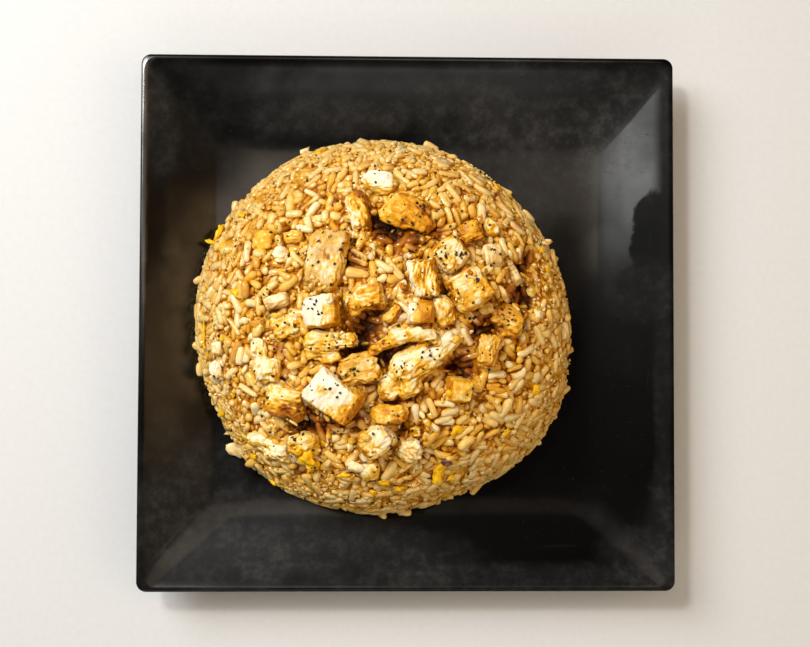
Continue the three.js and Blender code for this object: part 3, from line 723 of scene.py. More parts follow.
_, out = outness(middles)
sideways = unit(np.cross(out, draw.normal(size=(count, 3))))
leaning = 0.14 + 0.34 * looseness(middles)
tilt = np.where(isLoose, 0.40, leaning) * draw.normal(size=count)
ways = unit(sideways + out * tilt[:, None])
lengths = np.clip(draw.normal(*grain["length"], count), *grain["lengthLimits"])
broken = draw.random(count) < grain["broken"]
lengths[broken] *= draw.uniform(*grain["brokenTo"], broken.sum())
widths = np.clip(draw.normal(*grain["width"], count), *grain["widthLimits"])

beads = np.array([-1, -1 / 3, 1 / 3, 1])
radius = packing["radius"]
span = lengths / 2 - radius
grainOf = np.repeat(np.arange(count), 4)


# the beads of every grain: middle + way * span * bead
def beadSpots(middles, ways, span):
    return (middles[:, None] + ways[:, None] * (span[:, None] * beads)[..., None]).reshape(-1, 3)


for turn in range(packing["rounds"]):
    spots = beadSpots(middles, ways, span)
    if turn % packing["renewed"] == 0:
        one, other = nearPairs(spots, 2 * radius + packing["search"])
        apartGrains = grainOf[one] != grainOf[other]
        one, other = one[apartGrains], other[apartGrains]
    gap = spots[one] - spots[other]
    length = np.linalg.norm(gap, axis=1)
    overlap = np.maximum(2 * radius - length, 0)
    push = gap / np.maximum(length, 1e-6)[:, None] * (overlap * 0.5)[:, None]
    touching = overlap > 0
    hits = np.bincount(one[touching], minlength=len(spots))
    hits = hits + np.bincount(other[touching], minlength=len(spots))
    shift = gathered(one, push, len(spots)) - gathered(other, push, len(spots))
    shift /= np.maximum(hits * packing["spread"], 1)[:, None]

    away, out = outness(spots)
    band = 1 - looseness(spots)
    shift -= out * packing["pulls"][turn >= packing["rounds"] * packing["firstRounds"]]
    tooDeep = np.maximum(radius - packing["deepest"] - away, 0)
    proud = packing["proud"] * (1 - ramp(band, 0.05, 0.7))
    tooHigh = np.maximum(away + radius - packing["flush"] - proud, 0)
    shift += out * (packing["back"] * tooDeep - packing["back"] * tooHigh)[:, None]
    outline, outwards = footprint(spots)
    aside = radius - outline
    down = away + radius - 0.1
    blocked = (aside > 0) & (down > 0)
    shift += outwards * np.where(blocked & (aside < down), packing["off"] * aside, 0)[:, None]
    shift -= out * np.where(blocked & (aside >= down), packing["off"] * down, 0)[:, None]
    tooLow = np.maximum(plateTop(spots) + radius * 0.95 - spots[:, 2], 0)
    shift[:, 2] += tooLow * packing["back"]

    moved = (spots + shift).reshape(count, 4, 3)
    middles = moved.mean(axis=1)
    ways = unit((moved * beads[:, None]).sum(axis=1))
spots = beadSpots(middles, ways, span)

report("packed %d grains" % count)

# the core under the grains: how deep it lies below the heap's surface in the moulded band and where
# the top is loose, and how far it stays off the plate
core = {"rings": 180, "sides": 440, "sunkBand": 1.25, "sunkLoose": 2.0, "clear": 0.3}
arc = np.linspace(0.4, flankArc[-1], core["rings"])
angle = np.arange(core["sides"]) / core["sides"] * 2 * np.pi
arc, angle = (grid.ravel() for grid in np.meshgrid(arc, angle, indexing="ij"))
surface = onHeap(arc, angle, 0)
free = looseness(surface)
lumps = (noise(surface / 3.1, 3) * 0.6 + noise(surface / 1.5, 4) * 0.5) * (0.6 + 0.4 * free)
sunk = core["sunkBand"] + (core["sunkLoose"] - core["sunkBand"]) * free
corePoints = onHeap(arc, angle, -sunk + lumps)
keepOffPlate(corePoints, core["clear"])
lastRing = corePoints[-core["sides"]:]
centre = np.array([*heap["centre"], 0])
floorRings = []
for share in (0.9, 0.6, 0.3):
    ring = centre + (lastRing - centre) * share
    ring[:, 2] = plateTop(ring) + core["clear"]
    floorRings.append(ring)
crown = onHeap(np.array([0.0]), np.array([0.0]), -core["sunkLoose"])
lowest = [[*heap["centre"], plate["wellHeight"] + core["clear"]]]
coreAll = np.concatenate([corePoints, *floorRings, crown, lowest])
coreRings = core["rings"] + len(floorRings)
topPoint = coreRings * core["sides"]
coreFaces = [
    ringFaces(coreRings, core["sides"]),
    fanFaces(topPoint, 0, core["sides"]),
    fanFaces(topPoint + 1, (coreRings - 1) * core["sides"], core["sides"], flipped=True),
]

# the height of the grains' tops above the smooth heap, the highest of three cells each way and then
# evened out, so that anything can be told how far it lies below them
cellSize = 2.5
cellOrigin = np.array([-122.0, -112.0, -6.0])
cellCounts = np.array([90, 90, 36])
overBead = 1.9  # from a bead's middle to the grain's top
away, _ = outness(spots)
tops = np.full(cellCounts, -99.0)
cells = np.clip(((spots - cellOrigin) / cellSize).astype(int), 0, cellCounts - 1)
np.maximum.at(tops, tuple(cells.T), away + overBead)
for axis in range(3):
    tops = np.maximum(tops, np.maximum(np.roll(tops, 1, axis), np.roll(tops, -1, axis)))
tops = np.maximum(tops, -1)
for axis in range(3):
    tops = (tops + np.roll(tops, 1, axis) + np.roll(tops, -1, axis)) / 3


# how far points lie below the grains' tops: the grid's value there, mixed from eight cells, less
# the point's own height above the smooth heap
def below(points):
    place = np.clip((points - cellOrigin) / cellSize - 0.5, 0, cellCounts - 2)
    i, j, k = place.astype(int).T
    p, q, s = (place - np.floor(place)).T
    top = 0
    for a, b, c in np.ndindex(2, 2, 2):
        weight = np.abs(1 - a - p) * np.abs(1 - b - q) * np.abs(1 - c - s)
        top = top + weight * tops[i + a, j + b, k + c]
    return top - outness(points)[0]


glazeLook = {"Roughness": 0.5, "Specular IOR Level": 0.12, "Coat Weight": 0.03, "Coat Roughness": 0.10}
shadedGlaze = Finish("shadedGlaze", glazeLook)
patchy = shadedGlaze.cloud(2.6, 3).between(0.3, 0.7)
shallow = shadedGlaze.mix(patchy, (0.68, 0.38, 0.045), (0.80, 0.54, 0.14))
# deep is the colour of the glaze far below the grains' tops: part sauce, part painted shade
deep = shadedGlaze.mix(patchy, (0.36, 0.12, 0.002), (0.54, 0.22, 0.004))
glaze = shadedGlaze.mix(shadedGlaze.attribute("soak"), shallow, deep)
puddleShade = shadedGlaze.attribute("pool")
# painted shade: brown-orange, then near black where glaze collects between the toppings and in the pockets
amberShaded = shadedGlaze.mix(puddleShade.between(0.0, 0.5), glaze, (0.32, 0.10, 0.003))
shadedGlaze.feed("Base Color", shadedGlaze.mix(puddleShade.between(0.35, 1.0), amberShaded, (0.040, 0.008, 0.001)))
shadedGlaze.bump(shadedGlaze.cloud(1.1, 3) * 0.22)
values = {"soak": ramp(below(coreAll), 1.4, 3.5), "pool": poolShading(coreAll)}
addPiece("riceCore", coreAll, coreFaces, shadedGlaze, values=values, replaces=["rice"])

# what bits can fall on: points, faces and a kind, 0 for the core, 1 for rice and 2 for a topping
grounds = [(corePoints, [ringFaces(core["rings"], core["sides"])], 0)]

report("core")


# lumpy pebbles as joined meshes: a ball's rings scaled to three half sizes, drawn in and out by
# noise, with one side direction and one normal each
def pebbles(spots, normals, turns, halfSizes, roughness, rings, sides, draw):
    n = len(spots)
    lean = np.stack([np.cos(turns), np.sin(turns), np.zeros(n)], axis=1)
    across = unit(np.cross(normals, lean))
    lean = np.cross(across, normals)
    polar = np.linspace(0, np.pi, rings + 2)[1:-1]
    circle = np.arange(sides) / sides * 2 * np.pi
    ball = np.stack([
        np.outer(np.sin(polar), np.cos(circle)), np.outer(np.sin(polar), np.sin(circle)),
        np.outer(np.cos(polar), np.ones(sides)),
    ], axis=-1).reshape(-1, 3)
    ball = np.concatenate([[[0, 0, 1]], ball, [[0, 0, -1]]])
    local = np.broadcast_to(ball, (n, len(ball), 3)).reshape(-1, 3)
    offset = np.repeat(draw.uniform(0, 900, (n, 3)), len(ball), axis=0)
    size = 1 + roughness * (noise(local * 1.4 + offset, 60) + 0.6 * noise(local * 3.1 + offset, 61))
    local = (local * size[:, None]).reshape(n, len(ball), 3) * halfSizes[:, None]
    points = spots[:, None] + local[..., :1] * lean[:, None]
    points = points + local[..., 1:2] * across[:, None] + local[..., 2:] * normals[:, None]
    return points.reshape(-1, 3), closedFaces(n, rings, sides), len(ball)


# grains as joined meshes with one point at each tip. along its length t a grain's radius is
# (1 - |t|^6)^0.5, a little slimmer at one end and uneven from station to station; it is bent sideways
# by bend * (1 - t^2) and pressed thinner one way
def grainPoints(middles, ways, ups, lengths, widths, draw):
    n = len(middles)
    t = np.concatenate([[-1.0], grain["stations"], [1.0]])
    slimmer = 1 + draw.normal(0, 0.09, (n, 1)) * t + draw.normal(0, 0.05, (n, len(t)))
    girth = np.sqrt(np.maximum(1 - np.abs(t) ** 6, 0)) * slimmer
    side = np.cross(ways, ups)
    turn = np.arange(grain["sides"]) / grain["sides"] * 2 * np.pi
    swell = 1 + 0.08 * np.sin(2 * turn + draw.uniform(0, 6.28, (n, 1, 1)))
    swell = swell + 0.05 * np.sin(3 * turn + 4 * t[None, :, None] + draw.uniform(0, 6.28, (n, 1, 1)))
    radius = girth[:, :, None] * swell
    bend = draw.normal(0, 0.5, (n, 1)) * (1 - t**2)
    rise = draw.normal(0, 0.25, (n, 1)) * (1 - t**2)
    across = radius * np.cos(turn) * (widths / 2)[:, None, None] + bend[:, :, None]
    above = radius * np.sin(turn) * (widths / 2 * grain["thin"])[:, None, None] + rise[:, :, None]
    axis = middles[:, None] + ways[:, None] * (t * lengths[:, None] / 2)[..., None]
    points = axis[:, :, None] + side[:, None, None] * across[..., None]
    points = points + ups[:, None, None] * above[..., None]
    body = points[:, 1:-1].reshape(n, -1, 3)
    return np.concatenate([points[:, 0, :1], body, points[:, -1, :1]], axis=1)


# points pressed back along the normal by 0.78 of what stands out of the moulded band by over slack
def pressFlush(points, slack):
    away, out = outness(points)
    band = ramp(1 - looseness(points), 0.3, 0.85)
    over = np.maximum(away - slack, 0)
    return points - out * (over * 0.78 * band)[:, None]


# grains half stuck to the heap's foot: angle round the heap, turn away from pointing out, and how
# far their middles stand outside it
strays = [
    (75, 80, 1.0), (270, 30, -1.0), (277, 80, 0.8), (332, 15, -2.2), (324, -30, -1.6), (166, 40, -1.2),
    (187, -35, -1.5), (340, 60, 0.0), (20, 50, -0.6), (300, -70, 0.4), (194, 75, 0.3), (142, -60, 0.2),
    (48, -75, 0.4), (352, 35, -1.4),
]
angle, turn, away = np.array(strays).T
angle, turn = np.radians([angle, turn])
away = heap["radius"] * sagging(angle) + away
places = heap["centre"] + away[:, None] * np.stack([np.cos(angle), np.sin(angle)], axis=1)
strayMiddles = np.column_stack([places, plateTop(places) + 1.7])
turn = angle + turn
strayWays = np.stack([np.cos(turn), np.sin(turn), np.full(len(turn), 0.08)], axis=1)

middles = np.concatenate([middles, strayMiddles])
ways = unit(np.concatenate([ways, strayWays]))
lengths = np.concatenate([lengths, draw.uniform(6.5, 8.5, len(strays))])
widths = np.concatenate([widths, draw.uniform(3.2, 3.8, len(strays))])
isStray = np.arange(len(middles)) >= count
away, out = outness(middles)
# a few grains near the foot come loose and stand out of the side
poking = ~isStray & (draw.random(len(middles)) < 0.05) & (middles[:, 2] < 22) & (away > -1.6)
middles[poking] += out[poking] * draw.uniform(0.2, 1.3, poking.sum())[:, None]
ways[poking] = unit(ways[poking] + out[poking] * draw.normal(0, 0.35, poking.sum())[:, None])
isFree = isStray | poking
out[isStray] = (0, 0, 1)
wobble = (0.15 + 0.8 * looseness(middles))[:, None]
ups = out + wobble * draw.normal(size=(len(middles), 3)) * 0.8
ups = unit(ups - ways * np.einsum("ij,ij->i", ups, ways)[:, None])
tone = draw.random(len(middles))
kindDraw = draw.random(len(middles))


# what is the same for all rice
riceLook = {
    "Roughness": 0.42,
    "Specular IOR Level": 0.2,
    "Coat IOR": 1.65,
    "Coat Roughness": 0.08,
    "Subsurface Weight": 0.5,
    "Subsurface Scale": 0.0015,
    "Subsurface Radius": (1.0, 0.6, 0.2),
}


# the colour of rice: tone and mottling, evened out in the moulded band, then orange and brown with
# depth below the grains' tops and near black where glaze collects between the toppings: part sauce and glaze,
# part painted shade
def riceFinish(name, light, dark):
    finish = Finish(name, riceLook)
    mottled = finish.cloud(1.7, 3).between(0.3, 0.7)
    body = finish.mix(finish.attribute("tone") * 0.55 + mottled * 0.45, dark, light)
    broad = finish.cloud(7.0, 4, shift=(0.1, 0.2, 0)).between(0.35, 0.65)
    blended = finish.mix(broad, (0.65, 0.37, 0.080), (0.79, 0.56, 0.215))
    body = finish.mix(finish.attribute("band") * 0.65, body, blended)
    soak, puddleShade = finish.attribute("soak"), finish.attribute("pool")
    # browner the further a point lies below the grains' tops: part sauce soaking in, part painted shade
    soakShaded = finish.mix(soak.between(0.0, 0.6) * 0.88, body, (0.70, 0.345, 0.006))
    soakShaded = finish.mix(soak.between(0.4, 1.0), soakShaded, (0.42, 0.14, 0.002))
    # painted shade: brown-orange, then near black where glaze collects between the toppings
    amberShaded = finish.mix(puddleShade.between(0.05, 0.5), soakShaded, (0.34, 0.10, 0.002))
    finish.feed("Base Color", finish.mix(puddleShade.between(0.4, 0.95), amberShaded, (0.045, 0.010, 0.001)))
    wet = finish.cloud(1.8, 2, shift=(0.3, 0, 0)).between(0.48, 0.56)
    finish.feed("Coat Weight", (1 - puddleShade * 0.9) * wet)
    finish.bump(finish.cloud(0.9, 3) * 0.20)
    return finish


# what the rice's colours read at each point
def riceValues(points, tone):
    lying = below(points)
    return {
        "tone": tone,
        "band": 1 - looseness(points),
        # darkening below the grains' tops, part sauce and part painted shade
        "soak": ramp(lying, 0.35, 3.6),
        # painted shade where glaze collects, stronger low on the grains than on their tops
        "pool": poolShading(points) * (0.55 + 0.45 * ramp(lying, 0.2, 2.4)),
    }


# kinds of grain: share of all, as the stretch of a random number that picks it, and two colours
riceKinds = {
    "goldenGrains": {"share": (0.0, 0.24), "light": (0.80, 0.53, 0.13), "dark": (0.72, 0.37, 0.030)},
    "paleGrains": {"share": (0.24, 0.63), "light": (0.84, 0.64, 0.27), "dark": (0.77, 0.47, 0.080)},
    "milkyGrains": {"share": (0.63, 0.955), "light": (0.88, 0.74, 0.45), "dark": (0.82, 0.60, 0.22)},
    "brownedGrains": {"share": (0.955, 1.01), "light": (0.70, 0.36, 0.045), "dark": (0.56, 0.23, 0.015)},
}
for name, kind in riceKinds.items():
    low, high = kind["share"]
    chosen = (kindDraw >= low) & (kindDraw < high)
    picked = [every[chosen] for every in (middles, ways, ups, lengths, widths)]
    points = grainPoints(*picked, draw)
    n, perGrain = points.shape[:2]
    slack = np.repeat(packing["flush"] + draw.normal(0, 0.16, n), perGrain)
    flat = points.reshape(-1, 3)
    flat += grain["uneven"] * np.stack([noise(flat / 2.1, seed) for seed in (21, 22, 23)], axis=1)
    held = np.repeat(~isFree[chosen], perGrain)
    flat[held] = pressFlush(flat[held], slack[held])
    keepOffPlate(flat, 0.12)
    finish = riceFinish(name, kind["light"], kind["dark"])
    values = riceValues(flat, np.repeat(tone[chosen], perGrain))
    faces = closedFaces(n, len(grain["stations"]), grain["sides"])
    addPiece(name, flat, faces, finish, values=values, replaces=["rice"])
    grounds.append((flat, faces, 1))
    report("%d %s" % (n, name))

# bits of broken rice on and between the grains, with half sizes
riceBits = {"count": 3100, "lift": (-0.5, 1.0), "long": (0.6, 1.6), "wide": (0.35, 0.85)}
bitMiddles = scatterOnHeap(draw, riceBits["count"], *riceBits["lift"])
clear = (footprint(bitMiddles)[0] > 0.5) & (bitMiddles[:, 2] > 8.5) & (poolShading(bitMiddles) < 0.5)
bitMiddles = bitMiddles[clear]
n = len(bitMiddles)
long, wide = draw.uniform(*riceBits["long"], n), draw.uniform(*riceBits["wide"], n)
half = np.stack([long, wide, wide * draw.uniform(0.6, 1.0, n)], axis=1)
lean = unit(outness(bitMiddles)[1] + 0.3 * draw.normal(size=(n, 3)))
points, faces, perBit = pebbles(bitMiddles, lean, draw.uniform(0, 6.28, n), half, 0.55, 3, 6, draw)
points = pressFlush(points, packing["flush"])
finish = riceFinish("brokenRice", (0.88, 0.66, 0.32), (0.68, 0.36, 0.06))
values = riceValues(points, np.repeat(draw.random(n), perBit))
addPiece("riceBits", points, faces, finish, values=values, replaces=["rice"])
grounds.append((points, faces, 1))
report("broken rice")


# a merged copy of a node's mesh, cut again into even squares of about voxel millimetres
def evenShell(name, voxel):
    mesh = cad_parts[name].data.copy()
    joined = bmesh.new()
    joined.from_mesh(mesh)
    bmesh.ops.remove_doubles(joined, verts=joined.verts, dist=1e-6)
    joined.to_mesh(mesh)
    joined.free()
    shell = bpy.data.objects.new("shell", mesh)
    bpy.context.collection.objects.link(shell)
    even = shell.modifiers.new("even", "REMESH")
    even.mode = "VOXEL"
    even.voxel_size = voxel * metre
    made = bpy.data.meshes.new_from_object(shell.evaluated_get(bpy.context.evaluated_depsgraph_get()))
    points = np.empty(len(made.vertices) * 3)
    made.vertices.foreach_get("co", points)
    corners = np.empty(len(made.loops), dtype=np.int32)
    made.loops.foreach_get("vertex_index", corners)
    bpy.data.objects.remove(shell)
    bpy.data.meshes.remove(mesh)
    bpy.data.meshes.remove(made)
    return points.reshape(-1, 3) / metre, corners.reshape(-1, 4)


# each point moved by a share of the way to the mean of its neighbours, again and again
def smoothed(points, quads, rounds, share=0.6):
    ends = np.concatenate([quads[:, [0, 1]], quads[:, [1, 2]], quads[:, [2, 3]], quads[:, [3, 0]]])
    ends = np.concatenate([ends, ends[:, ::-1]])
    counts = np.bincount(ends[:, 0], minlength=len(points))[:, None]
    for _ in range(rounds):
        sums = gathered(ends[:, 0], points[ends[:, 1]], len(points))
        points = points + share * (sums / np.maximum(counts, 1) - points)
    return points


# normals at the points of a net of quads: the sum of the crossed diagonals of the quads round each
def pointNormals(points, quads):
    a, b, c, d = (points[quads[:, corner]] for corner in range(4))
    across = np.repeat(np.cross(c - a, d - b), 4, axis=0)
    return unit(gathered(quads.ravel(), across, len(points)))


# the direction (cos a cos e, sin a cos e, sin e)
def heading(azimuth, elevation):
    a, e = np.radians([azimuth, elevation])
    return np.array([np.cos(a) * np.cos(e), np.sin(a) * np.cos(e), np.sin(e)])


# what the pieces of chicken look like. pale is the direction that the palest face looks in (turn and
# height in degrees); sear is how brown that face is and how brown the far side is; fibre is the turn
# of the meat's threads and lines how deep they are; torn is how ragged and round how blunt it is;
# slant is how much the browning follows place and not the way a face looks; rim browns the edges,
# tan darkens the palest side, spots makes brown spots, and calm multiplies how uneven the browning is.
# what a piece doesn't say is as in plainLook
plainLook = {
    "pale": (120, 60), "torn": 0.7, "round": 5, "spots": 0.30, "rim": 0.14, "lines": 1.0, "calm": 1,
    "tan": 0, "slant": 0,
}
chickenLooks = {
    "01": {
        "sear": (-0.06, 0.62), "pale": (110, 60), "fibre": 0, "torn": 0.5, "round": 8, "spots": 0.1,
        "lines": 0.3, "slant": 0.6,
    },
    "02": {"sear": (0.12, 0.80), "pale": (200, 45), "fibre": 95, "torn": 0.8, "slant": 0.5},
    "03": {"sear": (0.40, 0.72), "pale": (165, 35), "fibre": -25, "round": 8, "slant": 0.4},
    "04": {
        "sear": (0.30, 0.66), "pale": (150, 62), "fibre": 78, "spots": 0.5, "rim": 0.6, "calm": 1.3,
        "tan": 0.7,
    },
    "05": {"sear": (0.36, 0.68), "pale": (90, 40), "fibre": 10, "lines": 0.5, "calm": 1.5},
    "06": {
        "sear": (-0.28, 0.62), "pale": (155, 35), "fibre": 90, "torn": 0.35, "spots": 0.15,
        "slant": 0.5,
    },
    "07": {"sear": (0.28, 0.70), "pale": (100, 60), "fibre": 30, "torn": 1.1},
    "08": {"sear": (0.34, 0.66), "pale": (80, 70), "fibre": 5, "torn": 1.2, "round": 4},
    "09": {"sear": (0.60, 0.90), "pale": (90, 60), "fibre": 20, "torn": 0.9, "round": 6},
    "10": {"sear": (0.24, 0.70), "pale": (250, 60), "fibre": 45, "torn": 0.8, "round": 7},
    "11": {"sear": (0.06, 0.66), "pale": (190, 25), "fibre": 80, "torn": 1.0, "lines": 0.5},
    "12": {"sear": (0.36, 0.70), "pale": (100, 75), "fibre": 30, "torn": 0.45, "round": 4, "calm": 1.5},
    "13": {
        "sear": (0.00, 0.62), "pale": (175, 15), "fibre": 90, "torn": 0.1, "round": 3, "spots": 0,
        "slant": 0.8,
    },
    "14": {"sear": (0.20, 0.72), "pale": (125, 45), "fibre": 110, "round": 7, "spots": 0.5},
    "15": {"sear": (0.42, 0.80), "pale": (150, 50), "fibre": 65, "torn": 0.9},
    "16": {"sear": (0.16, 0.70), "pale": (60, 60), "fibre": 15, "torn": 1.1, "slant": 0.4},
    "17": {"sear": (0.22, 0.66), "pale": (70, 60), "fibre": 35, "round": 7, "spots": 0.1, "lines": 0.6},
    "18": {
        "sear": (0.40, 0.66), "pale": (120, 75), "fibre": 15, "torn": 1.2, "round": 3, "rim": 0.4,
        "tan": 0.3,
    },
    "19": {
        "sear": (-0.12, 0.68), "pale": (140, 45), "fibre": 60, "torn": 0.2, "round": 4, "spots": 0.35,
        "calm": 0.7, "slant": 0.4,
    },
    "20": {"sear": (0.22, 0.78), "pale": (90, 32), "fibre": -10, "spots": 0.1, "slant": 0.5},
    "21": {"sear": (0.48, 0.70), "fibre": 5, "round": 14, "spots": 0.1},
    "22": {"sear": (0.14, 0.60), "pale": (45, 65), "fibre": 40, "torn": 0.4, "round": 4, "rim": 0.5},
    "23": {"sear": (0.10, 0.54), "pale": (60, 60), "fibre": 140, "torn": 1.2, "round": 4, "spots": 0.1},
    "24": {"sear": (0.40, 0.66), "pale": (60, 60), "fibre": 85, "torn": 0.1, "round": 3, "spots": 0},
    "25": {"sear": (0.42, 0.82), "pale": (90, 60), "fibre": 75, "torn": 1.1, "lines": 2.0, "tan": 0.35},
    "26": {"sear": (0.50, 0.80), "pale": (60, 60), "fibre": -30, "torn": 1.1, "spots": 0.5, "tan": 0.25},
    "27": {"sear": (0.34, 0.62), "pale": (100, 60), "fibre": 20, "torn": 1.0, "round": 6, "tan": 0.1},
    "28": {"sear": (0.14, 0.56), "pale": (80, 60), "fibre": -10, "torn": 0.8, "round": 8, "spots": 0.1},
    "29": {"sear": (0.08, 0.30), "fibre": 90, "torn": 0.6, "round": 9},
    "30": {"sear": (0.00, 0.22), "fibre": 90, "torn": 0.5, "round": 9},
    "31": {"sear": (0.20, 0.56), "fibre": 80, "torn": 0.8, "round": 8, "spots": 0.1},
    "32": {"sear": (0.16, 0.46), "fibre": 0, "torn": 0.9, "round": 9},
    "33": {"sear": (0.24, 0.52), "pale": (90, 60), "fibre": 90, "torn": 0.15, "spots": 0},
    "34": {"sear": (0.36, 0.68), "pale": (60, 50), "fibre": 90, "torn": 0.6},
    "35": {"sear": (0.36, 0.70), "fibre": 20, "torn": 1.2, "round": 4},
}

chickenFinish = Finish("browned chicken", {
    "Specular IOR Level": 0.22,
    "Coat Roughness": 0.15,
    "Subsurface Weight": 0.25,
    "Subsurface Scale": 0.0018,
    "Subsurface Radius": (1.0, 0.62, 0.35),
})
searing = chickenFinish.attribute("sear")
blotch = chickenFinish.cloud(2.6, 5, rough=0.6)
crust = chickenFinish.cloud(0.9, 3, shift=(0.2, 0.5, 0.1))
patchySearing = searing + (blotch - 0.5) * 0.52 + (crust - 0.5) * 0.42
searStops = [
    (0.0, (0.90, 0.83, 0.65)),
    (0.22, (0.87, 0.72, 0.39)),
    (0.36, (0.82, 0.53, 0.092)),
    (0.50, (0.745, 0.375, 0.012)),
    (0.66, (0.59, 0.220, 0.004)),
    (0.84, (0.34, 0.085, 0.002)),
    (1.0, (0.10, 0.025, 0.002)),
]
meat = chickenFinish.node("ShaderNodeValToRGB", {"stops": searStops}, {"Fac": patchySearing})
tanned = chickenFinish.mix(blotch.between(0.3, 0.7), (0.41, 0.205, 0.034), (0.60, 0.355, 0.095))
meat = chickenFinish.mix(chickenFinish.attribute("tan"), meat, tanned)
# painted shade: browner in the grooves between the threads and in the tears
threadGapShade = 1 - chickenFinish.attribute("fibre").between(-0.7, -0.1)
chickenFinish.feed("Base Color", chickenFinish.mix(threadGapShade * 0.35, meat, (0.60, 0.32, 0.07)))
chickenFinish.feed("Roughness", 0.52 - searing * 0.10)
moist = chickenFinish.cloud(3.0, 3, shift=(0.4, 0.1, 0)).between(0.5, 0.7)
chickenFinish.feed("Coat Weight", moist * 0.5)
chickenFinish.bump(chickenFinish.cloud(1.1, 4, rough=0.65) * 0.34)


# a finish of two colours in clouds, each with its size and limits, and of bumps of a size and height
def softFinish(name, fixed, clouds, colours, bumps):
    finish = Finish(name, fixed)
    size, low, high = clouds
    finish.feed("Base Color", finish.mix(finish.cloud(size, 3).between(low, high), *colours))
    size, height = bumps
    finish.bump(finish.cloud(size, 3) * height)
    return finish


eggLook = {
    "Roughness": 0.42,
    "Specular IOR Level": 0.25,
    "Coat Weight": 0.04,
    "Subsurface Weight": 0.2,
    "Subsurface Scale": 0.0015,
    "Subsurface Radius": (1.0, 0.6, 0.15),
}
eggColours = [(0.84, 0.41, 0.003), (0.97, 0.59, 0.010)]
eggFinish = softFinish("fried egg", eggLook, (2.0, 0.35, 0.68), eggColours, (0.8, 0.2))

soakedLook = {
    "Roughness": 0.3,
    "Specular IOR Level": 0.5,
    "Coat Weight": 0.3,
    "Subsurface Weight": 0.35,
    "Subsurface Scale": 0.002,
    "Subsurface Radius": (1.0, 0.5, 0.12),
}
soakedColours = [(0.78, 0.38, 0.016), (0.90, 0.56, 0.075)]
soakedFinish = softFinish("glazed egg", soakedLook, (2.6, 0.35, 0.7), soakedColours, (1.2, 0.2))

onionFinish = Finish("cooked onion", {
    "Roughness": 0.3,
    "Specular IOR Level": 0.5,
    "Coat Weight": 0.3,
    "Subsurface Weight": 0.4,
    "Subsurface Scale": 0.003,
    "Subsurface Radius": (1.0, 0.7, 0.3),
})
ribs = onionFinish.attribute("fibre").between(-0.5, 0.5)
onionFinish.feed("Base Color", onionFinish.mix(ribs, (0.56, 0.33, 0.080), (0.88, 0.68, 0.34)))
onionFinish.bump(onionFinish.cloud(1.0, 2) * 0.1)

# the same for the pieces of egg and onion
otherLooks = {
    "egg_01": {"finish": eggFinish, "fibre": 90, "torn": 0.9, "round": 9, "lines": 0.2},
    "egg_02": {"finish": soakedFinish, "fibre": 20, "torn": 0.8, "round": 9, "lines": 0.2},
    "egg_03": {"finish": soakedFinish, "fibre": 0, "torn": 0.6, "round": 9, "lines": 0.2},
    "egg_04": {"finish": eggFinish, "fibre": -30, "torn": 1.2, "round": 9, "lines": 0.3},
    "onion_01": {"finish": onionFinish, "fibre": 30, "torn": 0.2, "round": 9, "lines": 0.5},
    "onion_02": {"finish": onionFinish, "fibre": 95, "torn": 0.1, "round": 4, "lines": 1.2},
    "onion_03": {"finish": onionFinish, "fibre": 30, "torn": 0.1, "round": 4, "lines": 0.8},
    "onion_04": {"finish": onionFinish, "fibre": 85, "torn": 0.1, "round": 4, "lines": 0.8},
}

shellSquares = 0.5
# what roughens the toppings: height, and the share of it that a piece has that isn't torn at all
roughness = {
    "swell": (1.3, 0.3),
    "lumps": (0.62, 0.15),
    "bites": (1.0, 0.25),  # out of the edges
    "tears": (0.9, 0),
    "grit": (0.6, 0.1),
    "fine": (0.30, 0.3),
    "threads": (0.24, 0.6),
}


# a topping's shell with its points moved along their normals by threads + lumps + swell + fine noise
# - tears - bites - grit, each larger the more torn the piece is. returns points, quads, how far the
# threads stand out, how convex the shell is and how much of the roughness stands out
def roughened(name, look, seed):
    points, quads = evenShell(name, shellSquares)
    blunt = smoothed(points, quads, 14)
    points = smoothed(points, quads, look["round"])
    normals = pointNormals(points, quads)
    convex = np.einsum("ij,ij->i", points - blunt, normals)
    along = heading(look["fibre"], 8)
    side = unit(np.cross(along, (0.05, 0.1, 1.0)))
    local = points @ np.stack([along, side, np.cross(along, side)], axis=1)
    threads = noise(local * (0.16, 1.05, 1.05), seed) * 0.65
    threads = threads + noise(local * (0.32, 2.1, 2.1), seed + 1) * 0.35
    lumps = noise(local * (0.20, 0.34, 0.34), seed + 2) * 0.6
    lumps = lumps + noise(local * (0.34, 0.66, 0.66), seed + 3) * 0.4
    rift = noise(local * (0.11, 0.40, 0.33), seed + 4)
    tears = np.exp(-((rift / 0.06) ** 2)) * ramp(noise(local / 5, seed + 5), -0.2, 0.3)
    fine = noise(local * (0.55, 1.0, 1.0), seed + 7)
    shapes = {
        "threads": threads * look["lines"],
        "lumps": lumps,
        "tears": -tears,
        "fine": fine,
        "swell": noise(points / 6.0, seed + 8),
        "bites": -ramp(convex, 0.03, 0.4) * ramp(noise(points / 2.2, seed + 6), -0.15, 0.5),
        "grit": 0.25 - np.abs(noise(local * (0.36, 0.75, 0.75), seed + 10)),
    }
    height = 0
    for kind, shape in shapes.items():
        most, always = roughness[kind]
        height = height + most * (always + look["torn"]) * shape
    raised = 0.55 * lumps + 0.45 * fine + 0.3 * threads - tears
    return points + normals * height[:, None], quads, threads - 1.5 * tears, convex, raised
